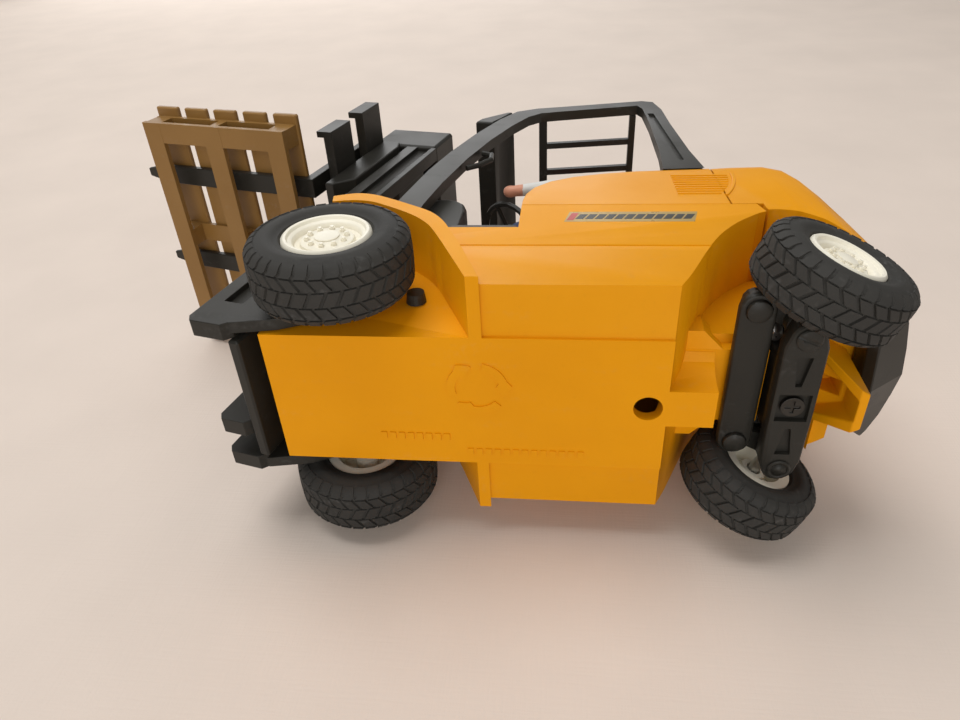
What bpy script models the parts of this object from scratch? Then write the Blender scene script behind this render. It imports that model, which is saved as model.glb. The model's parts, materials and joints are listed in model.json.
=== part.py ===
"""Toy counterbalance forklift at 1:16 with a raised pallet.

Every length below is in millimetres; piece() turns a finished mesh into metres.
Vehicle axes: +X left, +Y rear, +Z up. y = 0 is the front edge of the floor plate and z = 0 is the ground.
Mast pieces are drawn upright around the front axle and lean back with their parent empty.
"""

import math

import bmesh
import bpy
from mathutils import Matrix, Vector

MM = 0.001
GAP = 0.3                       # clearance between pieces that touch

# ---- driving dimensions -------------------------------------------------------------------------
CENTRE_Y = 33.1                 # y of the middle of the whole toy, so that it stands over the origin
PLATE_Z = 6.6                   # underside of the floor plate above the ground
PLATE_HALF = 16.6               # half width of the floor plate and of the front tunnel
SILL_UNDER = 7.4                # underside of the sills, a step above the floor plate
BODY_HALF = 28.3                # half width of the body side
BELT_Z = 45.0                   # crease between the chassis shell and the hood
WALL = 1.7                      # moulded wall thickness
SILL_Y0, SILL_Y1, SILL_Z = 36.0, 52.0, 33.0
TUNNEL_Z = 41.5                 # top of the front tunnel under the dashboard
SHELL_END_Y = 104.2
HOOD_END_Y = 99.0

FRONT_AXLE = (14.7, 16.9)       # y, z
FRONT_TYRE_R, FRONT_TYRE_W, FRONT_RIM_R, FRONT_MID_X = 16.9, 13.6, 8.5, 28.3
REAR_AXLE = (108.5, 14.9)
REAR_TYRE_R, REAR_TYRE_W, REAR_RIM_R = 14.9, 12.2, 7.0
KINGPIN_X, WHEEL_OFFSET = 16.5, 10.0
ARM_LENGTH = 9.7                # kingpin to tie rod pin
STEER = math.radians(22.5)      # lock that the rear wheels stand at
CORE_HALF = 11.4                # half width of the chassis between the steered wheels
KEEL_HALF = 9.2                 # half width of its lower part, between the swinging knuckle arms
KEEL_Z = 15.2                   # underside of that part, just above the tie rod
TONGUE_HALF = 4.5               # half width of the tongue behind the floor plate
WELL_HALF = 13.3                # half width of the counterweight between the steered wheels
FENDER_X = 31.0                 # how far out the front mudguards reach

MAST_TILT = math.radians(14.0)
RAIL_X0, RAIL_X1 = 15.9, 19.8
RAIL_U0, RAIL_U1 = -26.6, -16.6
RAIL_W0, RAIL_W1 = -16.7, 92.4
LIFT = 66.0                     # how far the carriage stands above its lowest place
BAR_HALF = 33.0
BAR_U0, BAR_U1 = -38.6, -34.6   # front and back of the carriage bars
FORK_LEFT_X, FORK_RIGHT_X = 18.8, -9.8
FORK_WIDTH, FORK_LENGTH, FORK_T = 5.6, 57.5, 2.2
FORK_W = -11.1                  # underside of the fork blades in the carriage frame
PALLET_X, PALLET_U, PALLET_H = 77.6, 48.0, 8.9

GUARD_X0, GUARD_X1 = 22.9, 25.8
ROOF_BARS_X = (-14.0, -5.0, 5.0, 14.0)

SEGMENTS = 40


# ---- materials ----------------------------------------------------------------------------------
def material(name, colour, roughness, metallic=0.0):
    """A Principled material with one colour."""
    made = bpy.data.materials.new(name)
    made.use_nodes = True
    shader = made.node_tree.nodes["Principled BSDF"]
    shader.inputs["Base Color"].default_value = (*colour, 1.0)
    shader.inputs["Roughness"].default_value = roughness
    shader.inputs["Metallic"].default_value = metallic
    made.diffuse_color = (*colour, 1.0)
    return made


def clear_scene():
    """Remove whatever the start-up file holds."""
    for thing in list(bpy.data.objects):
        bpy.data.objects.remove(thing, do_unlink=True)


# ---- mesh builders, all in millimetres ----------------------------------------------------------
def finish(bm, name="shape"):
    """Turn a bmesh into a mesh with its faces pointing out."""
    bmesh.ops.recalc_face_normals(bm, faces=bm.faces)
    made = bpy.data.meshes.new(name)
    bm.to_mesh(made)
    bm.free()
    return made


def box(x, y, z, bevel=0.0, segments=1):
    """A box between three (low, high) pairs, its edges bevelled."""
    bm = bmesh.new()
    size = Vector((x[1] - x[0], y[1] - y[0], z[1] - z[0]))
    middle = Vector((x[1] + x[0], y[1] + y[0], z[1] + z[0])) / 2
    bmesh.ops.create_cube(bm, size=1.0, matrix=Matrix.Translation(middle) @ Matrix.Diagonal((*size, 1.0)))
    if bevel:
        bmesh.ops.bevel(bm, geom=bm.edges[:], offset=bevel, segments=segments, affect="EDGES", profile=0.5)
    return finish(bm)


def prism(outline, low, high, axis="X", bevel=0.0):
    """Extrude an outline along an axis. For X the outline is (y, z), for Y (x, z), for Z (x, y)."""
    def point(pair, along):
        a, b = pair
        return {"X": (along, a, b), "Y": (a, along, b), "Z": (a, b, along)}[axis]

    bm = bmesh.new()
    start = [bm.verts.new(point(pair, low)) for pair in outline]
    end = [bm.verts.new(point(pair, high)) for pair in outline]
    caps = [bm.faces.new(start), bm.faces.new(end)]
    count = len(outline)
    for i in range(count):
        bm.faces.new((start[i], start[(i + 1) % count], end[(i + 1) % count], end[i]))
    if bevel:
        rims = {edge for cap in caps for edge in cap.edges}
        bmesh.ops.bevel(bm, geom=list(rims), offset=bevel, segments=1, affect="EDGES", profile=0.5)
    return finish(bm)


def loft(rings):
    """Skin a list of closed rings that all have the same number of points, and cap both ends."""
    bm = bmesh.new()
    rows = [[bm.verts.new(point) for point in ring] for ring in rings]
    count = len(rows[0])
    for row, following in zip(rows, rows[1:]):
        for i in range(count):
            bm.faces.new((row[i], row[(i + 1) % count], following[(i + 1) % count], following[i]))
    bm.faces.new(rows[0])
    bm.faces.new(rows[-1])
    return finish(bm)


def lathe(profile, segments=SEGMENTS, axis="X"):
    """Turn a closed (radius, along) profile about an axis through the origin."""
    bm = bmesh.new()
    rows = []
    for step in range(segments):
        angle = 2 * math.pi * step / segments
        c, s = math.cos(angle), math.sin(angle)
        place = {"X": lambda r, h: (h, r * c, r * s), "Y": lambda r, h: (r * c, h, r * s),
                 "Z": lambda r, h: (r * c, r * s, h)}[axis]
        rows.append([bm.verts.new(place(r, h)) for r, h in profile])
    count = len(profile)
    for step in range(segments):
        row, following = rows[step], rows[(step + 1) % segments]
        for i in range(count):
            bm.faces.new((row[i], row[(i + 1) % count], following[(i + 1) % count], following[i]))
    return finish(bm)


def rod(radius, start, end, segments=16, tip=None):
    """A round bar between two points, narrowing to the tip radius when one is given."""
    start, end = Vector(start), Vector(end)
    bm = bmesh.new()
    length = (end - start).length
    turn = (end - start).to_track_quat("Z", "Y").to_matrix().to_4x4()
    bmesh.ops.create_cone(bm, cap_ends=True, segments=segments, radius1=radius,
                          radius2=radius if tip is None else tip, depth=length,
                          matrix=Matrix.Translation((start + end) / 2) @ turn)
    return finish(bm)


def ball(centre, radii, segments=16, rings=10):
    """An ellipsoid."""
    bm = bmesh.new()
    bmesh.ops.create_uvsphere(bm, u_segments=segments, v_segments=rings, radius=1.0,
                              matrix=Matrix.Translation(centre) @ Matrix.Diagonal((*radii, 1.0)))
    return finish(bm)


def boolean(mesh, other, operation):
    """Combine two meshes with an exact boolean and return the result."""
    pair = [bpy.data.objects.new("shape", part) for part in (mesh, other)]
    for thing in pair:
        bpy.context.scene.collection.objects.link(thing)
    modifier = pair[0].modifiers.new("cut", "BOOLEAN")
    modifier.operation = operation
    modifier.solver = "EXACT"
    modifier.object = pair[1]
    graph = bpy.context.evaluated_depsgraph_get()
    made = bpy.data.meshes.new_from_object(pair[0].evaluated_get(graph))
    for thing in pair:
        bpy.data.objects.remove(thing, do_unlink=True)
    return made


def union(first, *others):
    """Join meshes into one body."""
    for other in others:
        first = boolean(first, other, "UNION")
    return first


def cut(first, *others):
    """Take meshes away from the first one."""
    for other in others:
        first = boolean(first, other, "DIFFERENCE")
    return first


def moved(mesh, offset=(0, 0, 0), turn=None):
    """Turn a mesh about the origin, then move it."""
    matrix = Matrix.Translation(offset)
    if turn is not None:
        matrix = matrix @ turn
    mesh.transform(matrix)
    return mesh


def arc(centre, radius, start, end, steps):
    """Points on a circle from one angle to another, in degrees."""
    angles = [math.radians(start + (end - start) * i / steps) for i in range(steps + 1)]
    return [(centre[0] + radius * math.cos(a), centre[1] + radius * math.sin(a)) for a in angles]


# ---- objects ------------------------------------------------------------------------------------
def smoothed(points, steps=3):
    """Points of a curve that passes through the given ones, with steps - 1 new points in each gap."""
    ends = [points[0]] + list(points) + [points[-1]]
    made = []
    for before, start, end, after in zip(ends, ends[1:], ends[2:], ends[3:]):
        for step in range(steps):
            t = step / steps
            made.append(tuple(0.5 * (2 * b + (c - a) * t + (2 * a - 5 * b + 4 * c - d) * t * t
                                     + (3 * b - a - 3 * c + d) * t * t * t)
                              for a, b, c, d in zip(before, start, end, after)))
    return made + [points[-1]]


def empty(name, location, parent=None, rotation=(0, 0, 0)):
    """A joint frame."""
    made = bpy.data.objects.new(name, None)
    made.empty_display_size = 0.01
    made.location = Vector(location) * MM
    made.rotation_euler = rotation
    made.parent = parent
    bpy.context.scene.collection.objects.link(made)
    return made


def piece(name, mesh, finish_material, parent, smooth=35.0):
    """Make the named object of a sub-part from a mesh in millimetres."""
    bm = bmesh.new()
    bm.from_mesh(mesh)
    bmesh.ops.dissolve_degenerate(bm, dist=1e-4, edges=bm.edges[:])
    bmesh.ops.triangulate(bm, faces=bm.faces[:])
    bm.to_mesh(mesh)
    bm.free()
    mesh.transform(Matrix.Scale(MM, 4))
    mesh.name = name
    mesh.materials.clear()
    mesh.materials.append(finish_material)
    mesh.shade_smooth()
    mesh.set_sharp_from_angle(angle=math.radians(smooth))
    made = bpy.data.objects.new(name, mesh)
    made.parent = parent
    bpy.context.scene.collection.objects.link(made)
    return made


# ---- body ---------------------------------------------------------------------------------------
ARCH = [(83.6, SILL_UNDER), (86.2, 12.6), (89.9, 21.2), (93.6, 28.8), (98.3, 35.2), (103.6, 40.0), (107.0, 41.3),
        (111.5, 40.2), (116.2, 36.6), (119.4, 31.8), (121.0, 27.0)]
ARCH_FRONT = smoothed(ARCH[:6])
ARCH_REAR = smoothed(ARCH[5:])

FENDER_OVER = [(8.0, 44.4), (13.0, 46.0), (17.6, 45.2), (22.5, 42.4), (27.6, 39.0), (32.6, 35.2), (36.0, 30.6),
               (38.4, 25.6), (41.6, 18.4), (46.2, PLATE_Z)]
FENDER_UNDER = [(8.6, 41.2), (13.0, 41.9), (17.6, 41.2), (21.6, 38.9), (26.0, 35.8), (30.0, 32.4), (33.2, 28.4),
                (35.6, 24.0), (38.8, 17.2), (43.6, PLATE_Z)]


def fender(side):
    """The mudguard band over a front wheel, running down into the body side."""
    inner_x = PLATE_HALF - WALL / 2
    rings = []
    for index, ((oy, oz), (uy, uz)) in enumerate(zip(smoothed(FENDER_OVER), smoothed(FENDER_UNDER))):
        x = FENDER_X - 0.07 * max(0, index - 18)
        rings.append([(side * inner_x, uy, uz), (side * x, uy, uz), (side * x, oy, oz), (side * inner_x, oy, oz)])
    return loft(rings)


def chassis_shell():
    """Floor plate, front tunnel, body sides up to the belt, mudguards and the core between the rear wheels."""
    side = [(45.2, SILL_UNDER)] + ARCH_FRONT + [(105.4, 41.0), (SHELL_END_Y, BELT_Z), (SILL_Y1, BELT_Z),
            (SILL_Y1, SILL_Z), (SILL_Y0, SILL_Z), (37.4, 26.0), (40.8, 18.4), (44.4, 10.2)]
    shell = prism(side, -BODY_HALF, BODY_HALF)
    tunnel_side = [(0.0, PLATE_Z), (47.5, PLATE_Z), (47.5, SILL_Z), (SILL_Y0, SILL_Z), (SILL_Y0, TUNNEL_Z),
                   (8.0, TUNNEL_Z), (5.0, 38.6), (0.0, 22.0)]
    tunnel = prism(tunnel_side, -PLATE_HALF, PLATE_HALF)
    core = prism([(80.0, 17.8), (104.0, 17.8), (104.0, 24.3), (105.4, 24.3), (105.4, 40.4), (80.0, 40.4)],
                 -CORE_HALF, CORE_HALF)
    plate = box((-PLATE_HALF, PLATE_HALF), (40.0, 83.6), (PLATE_Z, SILL_UNDER + WALL))
    keel = box((-KEEL_HALF, KEEL_HALF), (80.0, 104.0), (KEEL_Z, 19.0))
    step = prism([(-13.6, 81.0), (13.6, 81.0), (13.6, 90.5), (KEEL_HALF - 0.1, 94.8), (0.1 - KEEL_HALF, 94.8),
                  (-13.6, 90.5)], KEEL_Z + 0.05, 21.0, "Z")
    cove = [(TONGUE_HALF, PLATE_Z), (TONGUE_HALF + 0.2, PLATE_Z + 3.4), (TONGUE_HALF + 1.0, PLATE_Z + 6.0),
            (TONGUE_HALF + 2.2, PLATE_Z + 7.6), (TONGUE_HALF + 4.2, PLATE_Z + 8.5), (TONGUE_HALF + 4.2, 19.1)]
    tongue = prism(cove + [(-x, z) for x, z in reversed(cove)], 80.2, 93.2, "Y")
    shell = union(shell, tunnel, plate, core, keel, step, tongue, fender(1), fender(-1))
    bay_side = [(47.7, SILL_UNDER + WALL), (81.6, SILL_UNDER + WALL), (87.2, 20.6), (96.8, 37.2), (102.4, 42.4),
                (102.4, BELT_Z + 2), (SILL_Y1 + WALL, BELT_Z + 2), (SILL_Y1 + WALL, SILL_Z - WALL),
                (SILL_Y0 + 6.0, SILL_Z - WALL), (SILL_Y0 + 6.0, 27.0)]
    bay = prism(bay_side, WALL - BODY_HALF, BODY_HALF - WALL)
    inner = PLATE_HALF - WALL
    nose = prism([(WALL, PLATE_Z + WALL), (50.0, PLATE_Z + WALL), (50.0, SILL_Z - WALL),
                  (SILL_Y0 - WALL, SILL_Z - WALL), (SILL_Y0 - WALL, TUNNEL_Z - WALL), (9.2, TUNNEL_Z - WALL),
                  (6.9, 37.6), (1.8, 21.5)], -inner, inner)
    axle_hole = rod(1.5 + GAP, (-40, *FRONT_AXLE), (40, *FRONT_AXLE), 20)
    plate_hole = rod(3.0, (0, 79.7, 0), (0, 79.7, 12.0), 24)
    return cut(shell, bay, nose, axle_hole, plate_hole)


HOOD_TOP = [(52.0, 53.0), (52.6, 58.0), (54.4, 63.2), (58.0, 68.0), (64.0, 72.0), (71.0, 74.6), (80.0, 76.6),
            (HOOD_END_Y, 78.4)]
WEIGHT_TOP = [(HOOD_END_Y, 78.4), (104.0, 79.4), (112.0, 79.8), (116.6, 78.4), (119.4, 74.0), (121.8, 65.0),
              (123.6, 52.0), (124.6, 38.0), (125.2, 26.0)]
SEAM_LAP = 0.6                  # how far the two clearance solids run past the seam between them


def crowned_ring(y, bottom, top, half, rounding, grow=0.0):
    """A cross-section ring: flat bottom, leaning sides and a rounded shoulder."""
    radius = min(rounding, 0.8 * (top - bottom))
    shoulder = top - radius
    waist = half - 0.09 * (shoulder - BELT_Z)
    points = [(half - 0.09 * (bottom - BELT_Z), bottom), (waist, shoulder)]
    for degrees in (22.5, 45.0, 67.5, 90.0):
        a = math.radians(degrees)
        points.append((waist - radius + radius * math.cos(a), shoulder + radius * math.sin(a)))
    points = [(x + grow, z + (grow if z > bottom else -grow)) for x, z in points]
    right = [(-x, z) for x, z in reversed(points)]
    return [(x, y, z) for x, z in points + right]


def hood_mesh(grow=0.0):
    """Engine hood as a closed solid."""
    rings = []
    for y, top in HOOD_TOP:
        end = 0.0
        if y == HOOD_TOP[0][0]:
            end = -grow
        if y == HOOD_END_Y:
            end = SEAM_LAP if grow else -GAP
        rings.append(crowned_ring(y + end, BELT_Z + GAP, top, BODY_HALF, 5.5, grow))
    return loft(rings)


def engine_hood():
    """Hood over the bay behind the driver's feet, open underneath."""
    hood = hood_mesh()
    rings = []
    for y, top in HOOD_TOP[2:-1] + [(HOOD_END_Y - WALL - GAP, 78.2)]:
        rings.append(crowned_ring(y + 0.6, BELT_Z - 1.0, top - WALL - 0.4, BODY_HALF - WALL, 4.5))
    return cut(hood, loft(rings))


def weight_mesh(grow=0.0):
    """Counterweight outline as a closed solid, rounded in plan towards the rear."""
    rings = []
    for index, (y, top) in enumerate(WEIGHT_TOP):
        inset = 0.0 if y < 112 else (y - 112.0) ** 2 * 0.03
        start = y - SEAM_LAP if grow and index == 0 else y
        rings.append(crowned_ring(start, 24.0, top, BODY_HALF - inset, 6.0 if top > 40 else 1.5, grow))
    return loft(rings)


def counterweight():
    """Rear ballast block with both wheel arches and a hollow that opens to the engine bay."""
    block = weight_mesh()
    under = box((-40, 40), (90.0, 105.4 + GAP), (10.0, BELT_Z + GAP))
    lip = prism([(SHELL_END_Y - 0.2, BELT_Z + 0.5), (105.4, 41.0), (106.0, 41.0), (104.6, BELT_Z + 0.5)], -40, 40)
    wells = []
    outline = [(90.0, 12.0)] + ARCH_REAR + [(121.6, 28.4), (130.0, 28.4), (130.0, 12.0)]
    for side in (1, -1):
        low, high = sorted((side * WELL_HALF, side * 45.0))
        wells.append(prism(outline, low, high))
    hollow = box((-23.0, 23.0), (90.0, 116.0), (48.0, 70.0))
    return cut(block, under, lip, *wells, hollow)


def rear_bumper():
    """Black block behind the counterweight whose facets meet in a keel on the middle line."""
    plan = [(-10.9, 123.6), (10.9, 123.6), (17.2, 129.0), (16.2, 130.4), (12.0, 132.4), (6.0, 133.4), (0.0, 133.8),
            (-6.0, 133.4), (-12.0, 132.4), (-16.2, 130.4), (-17.2, 129.0)]
    block = prism(plan, 12.0, 29.0, axis="Z")
    rings = []
    for x, rise in ((-18.0, 3.4), (0.0, 0.0), (18.0, 3.4)):
        keel = [(123.0, 16.6), (125.3, 14.2), (135.0, 21.8), (135.0, 29.4), (126.0, 29.4), (126.0, 22.8),
                (123.0, 22.8)]
        rings.append([(x, y, z + (rise if z < 22.0 else 0.0)) for y, z in keel])
    return boolean(block, loft(rings), "INTERSECT")


def tow_hitch():
    """Tapered coupling tray that hangs from the counterweight, open below, with a pin hole in its floor."""
    plan = [(9.8, 113.0), (4.4, 122.2), (-4.4, 122.2), (-9.8, 113.0)]
    side = [(112.0, 25.0), (112.0, 20.4), (120.4, 7.2), (123.0, 7.2), (123.0, 25.0)]
    outer = boolean(prism(plan, 5.0, 24.0 - GAP, "Z"), prism(side, -12.0, 12.0), "INTERSECT")
    inner_plan = [(7.2, 114.4), (2.6, 120.4), (-2.6, 120.4), (-7.2, 114.4)]
    inner_side = [(112.0, 20.8), (112.0, 4.0), (123.0, 4.0), (123.0, 12.4)]
    pocket = boolean(prism(inner_plan, 4.5, 23.0, "Z"), prism(inner_side, -11.0, 11.0), "INTERSECT")
    hole = box((-1.9, 1.9), (116.4, 119.6), (9.0, 21.6))
    return cut(outer, pocket, hole)


# ---- cab ----------------------------------------------------------------------------------------
def cab_floor():
    """Footwell mat with its raised sill strips."""
    floor = box((-27.6, 27.6), (SILL_Y0 + 0.6, SILL_Y1 - GAP), (SILL_Z + GAP, SILL_Z + 1.5), 0.3)
    strips = [box((s * 26.6 - 1.0, s * 26.6 + 1.0), (SILL_Y0 + 1.0, SILL_Y1 - 0.7), (SILL_Z + 0.8, SILL_Z + 2.6))
              for s in (1, -1)]
    return union(floor, *strips)


def dashboard():
    """Front cowl with a rolled upper edge."""
    y, z = 29.5, 59.5
    base = TUNNEL_Z + GAP
    outline = [(24.6, base), (36.0, base), (36.4, 50.0)] + arc((y + 1.2, z), 6.2, -20, 180, 8)
    return prism(outline, -21.6, 21.6, bevel=0.9)


def seat():
    """One-piece seat on the hood."""
    cushion = prism([(55.0, 62.0), (75.6, 68.0), (76.4, 79.2), (56.8, 79.8), (54.6, 77.4)], -11.0, 11.0, bevel=1.0)
    back = prism([(71.0, 76.0), (76.0, 76.0), (81.2, 103.0), (79.4, 105.0), (76.6, 104.4), (71.4, 82.0)],
                 -9.6, 9.6, bevel=1.0)
    return cut(union(cushion, back), hood_mesh(GAP))


WHEEL_CENTRE = Vector((0.0, 45.0, 91.0))
WHEEL_LEAN = math.radians(35.0)
WHEEL_RADIUS = 9.0


def steering_wheel():
    """Rim, three spokes and hub, turned about local Z."""
    rim = [(WHEEL_RADIUS + 0.9 * math.cos(a), 0.9 * math.sin(a))
           for a in (math.radians(60 * i) for i in range(6))]
    shape = lathe(rim, 24, "Z")
    hub = rod(2.4, (0, 0, -1.0), (0, 0, 1.0), 14)
    spokes = []
    for degrees in (90, 210, 330):
        a = math.radians(degrees)
        spokes.append(rod(0.75, (0, 0, 0), (WHEEL_RADIUS * math.cos(a), WHEEL_RADIUS * math.sin(a), 0), 8))
    return union(hub, *spokes, shape)


def lever(length):
    """A control lever with a ball knob, standing on the origin."""
    return union(rod(0.7, (0, 0, 0), (0, 0, length), 10), ball((0, 0, length + 1.2), (1.7, 1.7, 1.7), 12, 8))


# ---- overhead guard -----------------------------------------------------------------------------
GUARD_OUTER = [(26.6, 40.2), (23.0, 42.6), (17.8, 45.6), (21.0, 54.5), (25.0, 75.0), (29.0, 89.5), (34.2, 104.5), (40.6, 119.5), (45.6, 127.6),
               (52.0, 130.6), (58.0, 131.6), (86.0, 136.8), (89.4, 135.4), (91.4, 127.0), (92.6, 112.0),
               (95.2, 88.0), (99.4, 62.0)]
GUARD_INNER = [(86.6, 62.0), (87.2, 88.0), (86.6, 112.0), (85.6, 128.0), (84.2, 131.6), (58.4, 126.4), (53.4, 125.2),
               (49.6, 121.6), (45.0, 112.8), (39.6, 99.5), (34.6, 84.0), (30.2, 66.0), (27.6, 52.0)]


def guard_frame(side):
    """A bent side frame: front pillar, roof rail and rear pillar."""
    low, high = sorted((side * GUARD_X0, side * GUARD_X1))
    frame = prism(GUARD_OUTER + GUARD_INNER, low, high)
    return cut(frame, union(hood_mesh(GAP), weight_mesh(GAP)))


def roof_slope(y):
    """Height of the underside of the roof bars."""
    return 127.6 + (y - 54.0) * 0.175


def guard_roof():
    """Roof grille: two cross bars and four long bars."""
    reach = GUARD_X0 - GAP
    front = box((-reach, reach), (52.6, 55.2), (roof_slope(54), roof_slope(54) + 2.2))
    rear = box((-reach, reach), (82.0, 84.0), (roof_slope(83) - 1.6, roof_slope(83) + 1.0))
    bars = []
    for x in ROOF_BARS_X:
        side = [(53.6, roof_slope(53.6) + 0.2), (83.0, roof_slope(83.0) - 1.0), (83.0, roof_slope(83.0) + 0.8),
                (53.6, roof_slope(53.6) + 2.0)]
        bars.append(prism(side, x - 0.9, x + 0.9))
    return union(front, rear, *bars)


def guard_visor():
    """Header beam across the front of the roof."""
    outline = [(33.0, 117.6), (34.4, 120.8), (42.2, 127.2), (44.4, 127.4), (39.9, 119.9), (38.7, 116.4)]
    return prism(outline, -GUARD_X1, GUARD_X1, bevel=0.4)


def grab_handle():
    """Loop behind the left front pillar."""
    x = (GUARD_X0 + GUARD_X1) / 2
    path = [(37.4, 92.2), (40.6, 90.4), (40.8, 86.4), (38.0, 82.4), (34.6, 80.0)]
    rings = []
    for i, (y, z) in enumerate(path):
        before, after = path[max(i - 1, 0)], path[min(i + 1, len(path) - 1)]
        along = Vector((0, after[0] - before[0], after[1] - before[1])).normalized()
        across = Vector((1, 0, 0)).cross(along)
        ring = []
        for k in range(8):
            a = 2 * math.pi * k / 8
            ring.append(Vector((x, y, z)) + 0.8 * (math.cos(a) * Vector((1, 0, 0)) + math.sin(a) * across))
        rings.append(ring)
    frame_side = prism(GUARD_OUTER + GUARD_INNER, GUARD_X0 - 1, GUARD_X1 + 1)
    frame_side.transform(Matrix.Translation((0, GAP * 1.6, -GAP)))
    return cut(loft(rings), frame_side)


# ---- mast, drawn upright around the front axle --------------------------------------------------
def mast_rail(side):
    """An outer mast rail with its channel and the arm back to the axle."""
    low, high = sorted((side * RAIL_X0, side * RAIL_X1))
    outline = [(RAIL_U0, RAIL_W0 + 1.6), (RAIL_U0 + 1.2, RAIL_W0), (RAIL_U1 - 1.4, RAIL_W0),
               (RAIL_U1, RAIL_W0 + 1.8), (RAIL_U1, RAIL_W1), (RAIL_U0, RAIL_W1)]
    rail = prism(outline, low, high)
    face = side * RAIL_X1
    groove = box(tuple(sorted((face - side * 1.3, face + side * 1))), (RAIL_U0 + 3.6, RAIL_U1 - 1.8),
                 (-8.0, RAIL_W1 + 2))
    arm_low, arm_high = sorted((side * (PLATE_HALF + 0.5), side * RAIL_X1))
    arm = prism([(RAIL_U1 - 3.0, -15.4), (RAIL_U1, -15.4), (-8.0, -11.6), (-1.0, -6.0), (4.4, -3.2), (5.2, 0.6),
                 (3.4, 4.6), (-1.0, 5.2), (-7.0, 2.6), (-12.0, -3.0), (RAIL_U1 - 3.0, -6.0)], arm_low, arm_high)
    hole = rod(1.5 + GAP, (-40, 0, 0), (40, 0, 0), 20)
    return cut(union(rail, arm), groove, hole)


def latch_rail():
    """Narrow middle rail whose notches hold the carriage at a height."""
    teeth = []
    w = RAIL_W0 + 8.0
    while w < RAIL_W1 - 6:
        teeth += [(RAIL_U1 - 1.6, w), (RAIL_U1 - 2.4, w + 0.8), (RAIL_U1 - 2.4, w + 2.6), (RAIL_U1 - 1.6, w + 3.4)]
        w += 8.0
    outline = [(RAIL_U0, RAIL_W1), (RAIL_U0, RAIL_W0 + 1.6), (RAIL_U0 + 1.2, RAIL_W0), (RAIL_U1 - 3.0, RAIL_W0),
               (RAIL_U1 - 1.6, RAIL_W0 + 1.8)] + teeth + [(RAIL_U1 - 1.6, RAIL_W1)]
    return prism(outline, -10.2, -6.2)


def mast_foot():
    """Cross plate that joins the two rails behind the lift."""
    inner = RAIL_X0 - GAP
    plate = box((-inner, inner), (RAIL_U1 - 1.2, RAIL_U1 + 1.4), (-16.2, -2.0), 0.4)
    return plate


def mast_head():
    """Hollow cap over the top of the rails, open underneath."""
    cap = box((-20.0, 20.0), (-38.6, -17.0), (RAIL_W1 + GAP, 107.6), 0.7)
    hollow = box((-18.2, 18.2), (-37.0, -18.6), (RAIL_W1 - 1.0, 105.8))
    return cut(cap, hollow)


def carriage_bar(w0):
    """A hooked cross bar that the forks hang on, with a cap at each end."""
    hook = BAR_U0 + 1.2
    top = w0 + 11.0
    outline = [(BAR_U1, w0), (hook, w0), (hook, w0 + 1.6), (BAR_U0, w0 + 2.6), (BAR_U0, w0 + 4.6), (hook, w0 + 6.6),
               (hook, top), (BAR_U1, top)]
    bar = prism(outline, -BAR_HALF, BAR_HALF)
    caps = [box(sorted((s * (BAR_HALF - 1.5), s * (BAR_HALF + 0.2))), (BAR_U0 - 0.7, BAR_U1 - 0.1),
                (w0 - 0.2, top + 0.2)) for s in (1, -1)]
    return union(bar, *caps)


def carriage_cheek(side):
    """A plate behind the bars with a guide shoe running in the mast rail."""
    low, high = sorted((side * 13.0, side * 21.4))
    face = BAR_U1 + GAP
    back = RAIL_U0 - 2 * GAP
    plate = prism([(face, -12.0), (face + 2.4, -12.0), (back, -7.0), (back, 21.0), (back - 1.4, 25.2), (face, 25.2)],
                  low, high, bevel=0.3)
    low, high = sorted((side * 13.0, side * (RAIL_X0 - GAP)))
    shoe = prism([(back - 1, -2.0), (-18.4, -2.0), (-17.6, 0.0), (-17.6, 17.0), (-18.4, 19.0), (back - 1, 19.0)],
                 low, high)
    return union(plate, shoe)


def fork():
    """An L-shaped fork hung on the two bars, drawn around the middle of its width."""
    half = FORK_WIDTH / 2
    back = BAR_U0 - GAP
    front = back - 2.4
    tip = front - FORK_LENGTH
    top = FORK_W + FORK_T
    shank = prism([(back, FORK_W), (back, 25.0), (front, 25.0), (front - 0.6, top), (front - 0.6, FORK_W)],
                  -half, half)
    plan = [(-half, back), (half, back), (half, tip + 7.0), (half - 1.6, tip), (-half + 1.6, tip), (-half, tip + 7.0)]
    blade = prism(plan, FORK_W, top, axis="Z")
    taper = prism([(tip - 1.0, FORK_W - 1.0), (tip + 26.0, FORK_W - 1.0), (tip + 26.0, FORK_W),
                   (tip - 1.0, FORK_W + 1.1)], -half - 1, half + 1)
    return cut(union(shank, blade), taper)


def pallet():
    """A five-plank pallet with three runners, nine blocks and windows between them."""
    rear = BAR_U0 - 3.6
    front = rear - PALLET_U
    plank_t = 1.7
    deck = FORK_W + FORK_T + GAP                    # underside of the planks, which the forks carry
    base = deck + plank_t - PALLET_H
    board = 1.5
    half = PALLET_X / 2
    inset = 2.4                                     # the planks overhang the frame by this much
    runner_w = 5.8
    block_half = 2.9
    centres = (rear - runner_w / 2 - 0.3, (rear + front) / 2, front + runner_w / 2 + 0.3)
    blocks_x = (-half + inset + block_half, 0.0, half - inset - block_half)
    solids = []
    for u in centres:
        solids.append(box((-half + inset, half - inset), (u - runner_w / 2, u + runner_w / 2), (base, base + board)))
    for x in blocks_x:
        width = block_half
        if x:
            solids.append(box((x - width, x + width), (front + 0.5, rear - 0.5), (base + 0.05, base + board - 0.05)))
        solids.append(box((x - width + 0.1, x + width - 0.1), (front + 0.6, rear - 0.6), (deck - 1.2, deck + 0.2)))
        for u in centres:
            reach = runner_w / 2 - (0.2 if u != centres[1] else 1.6)
            solids.append(box((x - width + 0.2, x + width - 0.2), (u - reach, u + reach), (base + 0.5, deck)))
    plank = 7.6
    pitch = (PALLET_U - plank) / 4
    for i in range(5):
        start = front + i * pitch
        solids.append(box((-half, half), (start, start + plank), (deck, base + PALLET_H), 0.35))
    return union(*solids)


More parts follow.
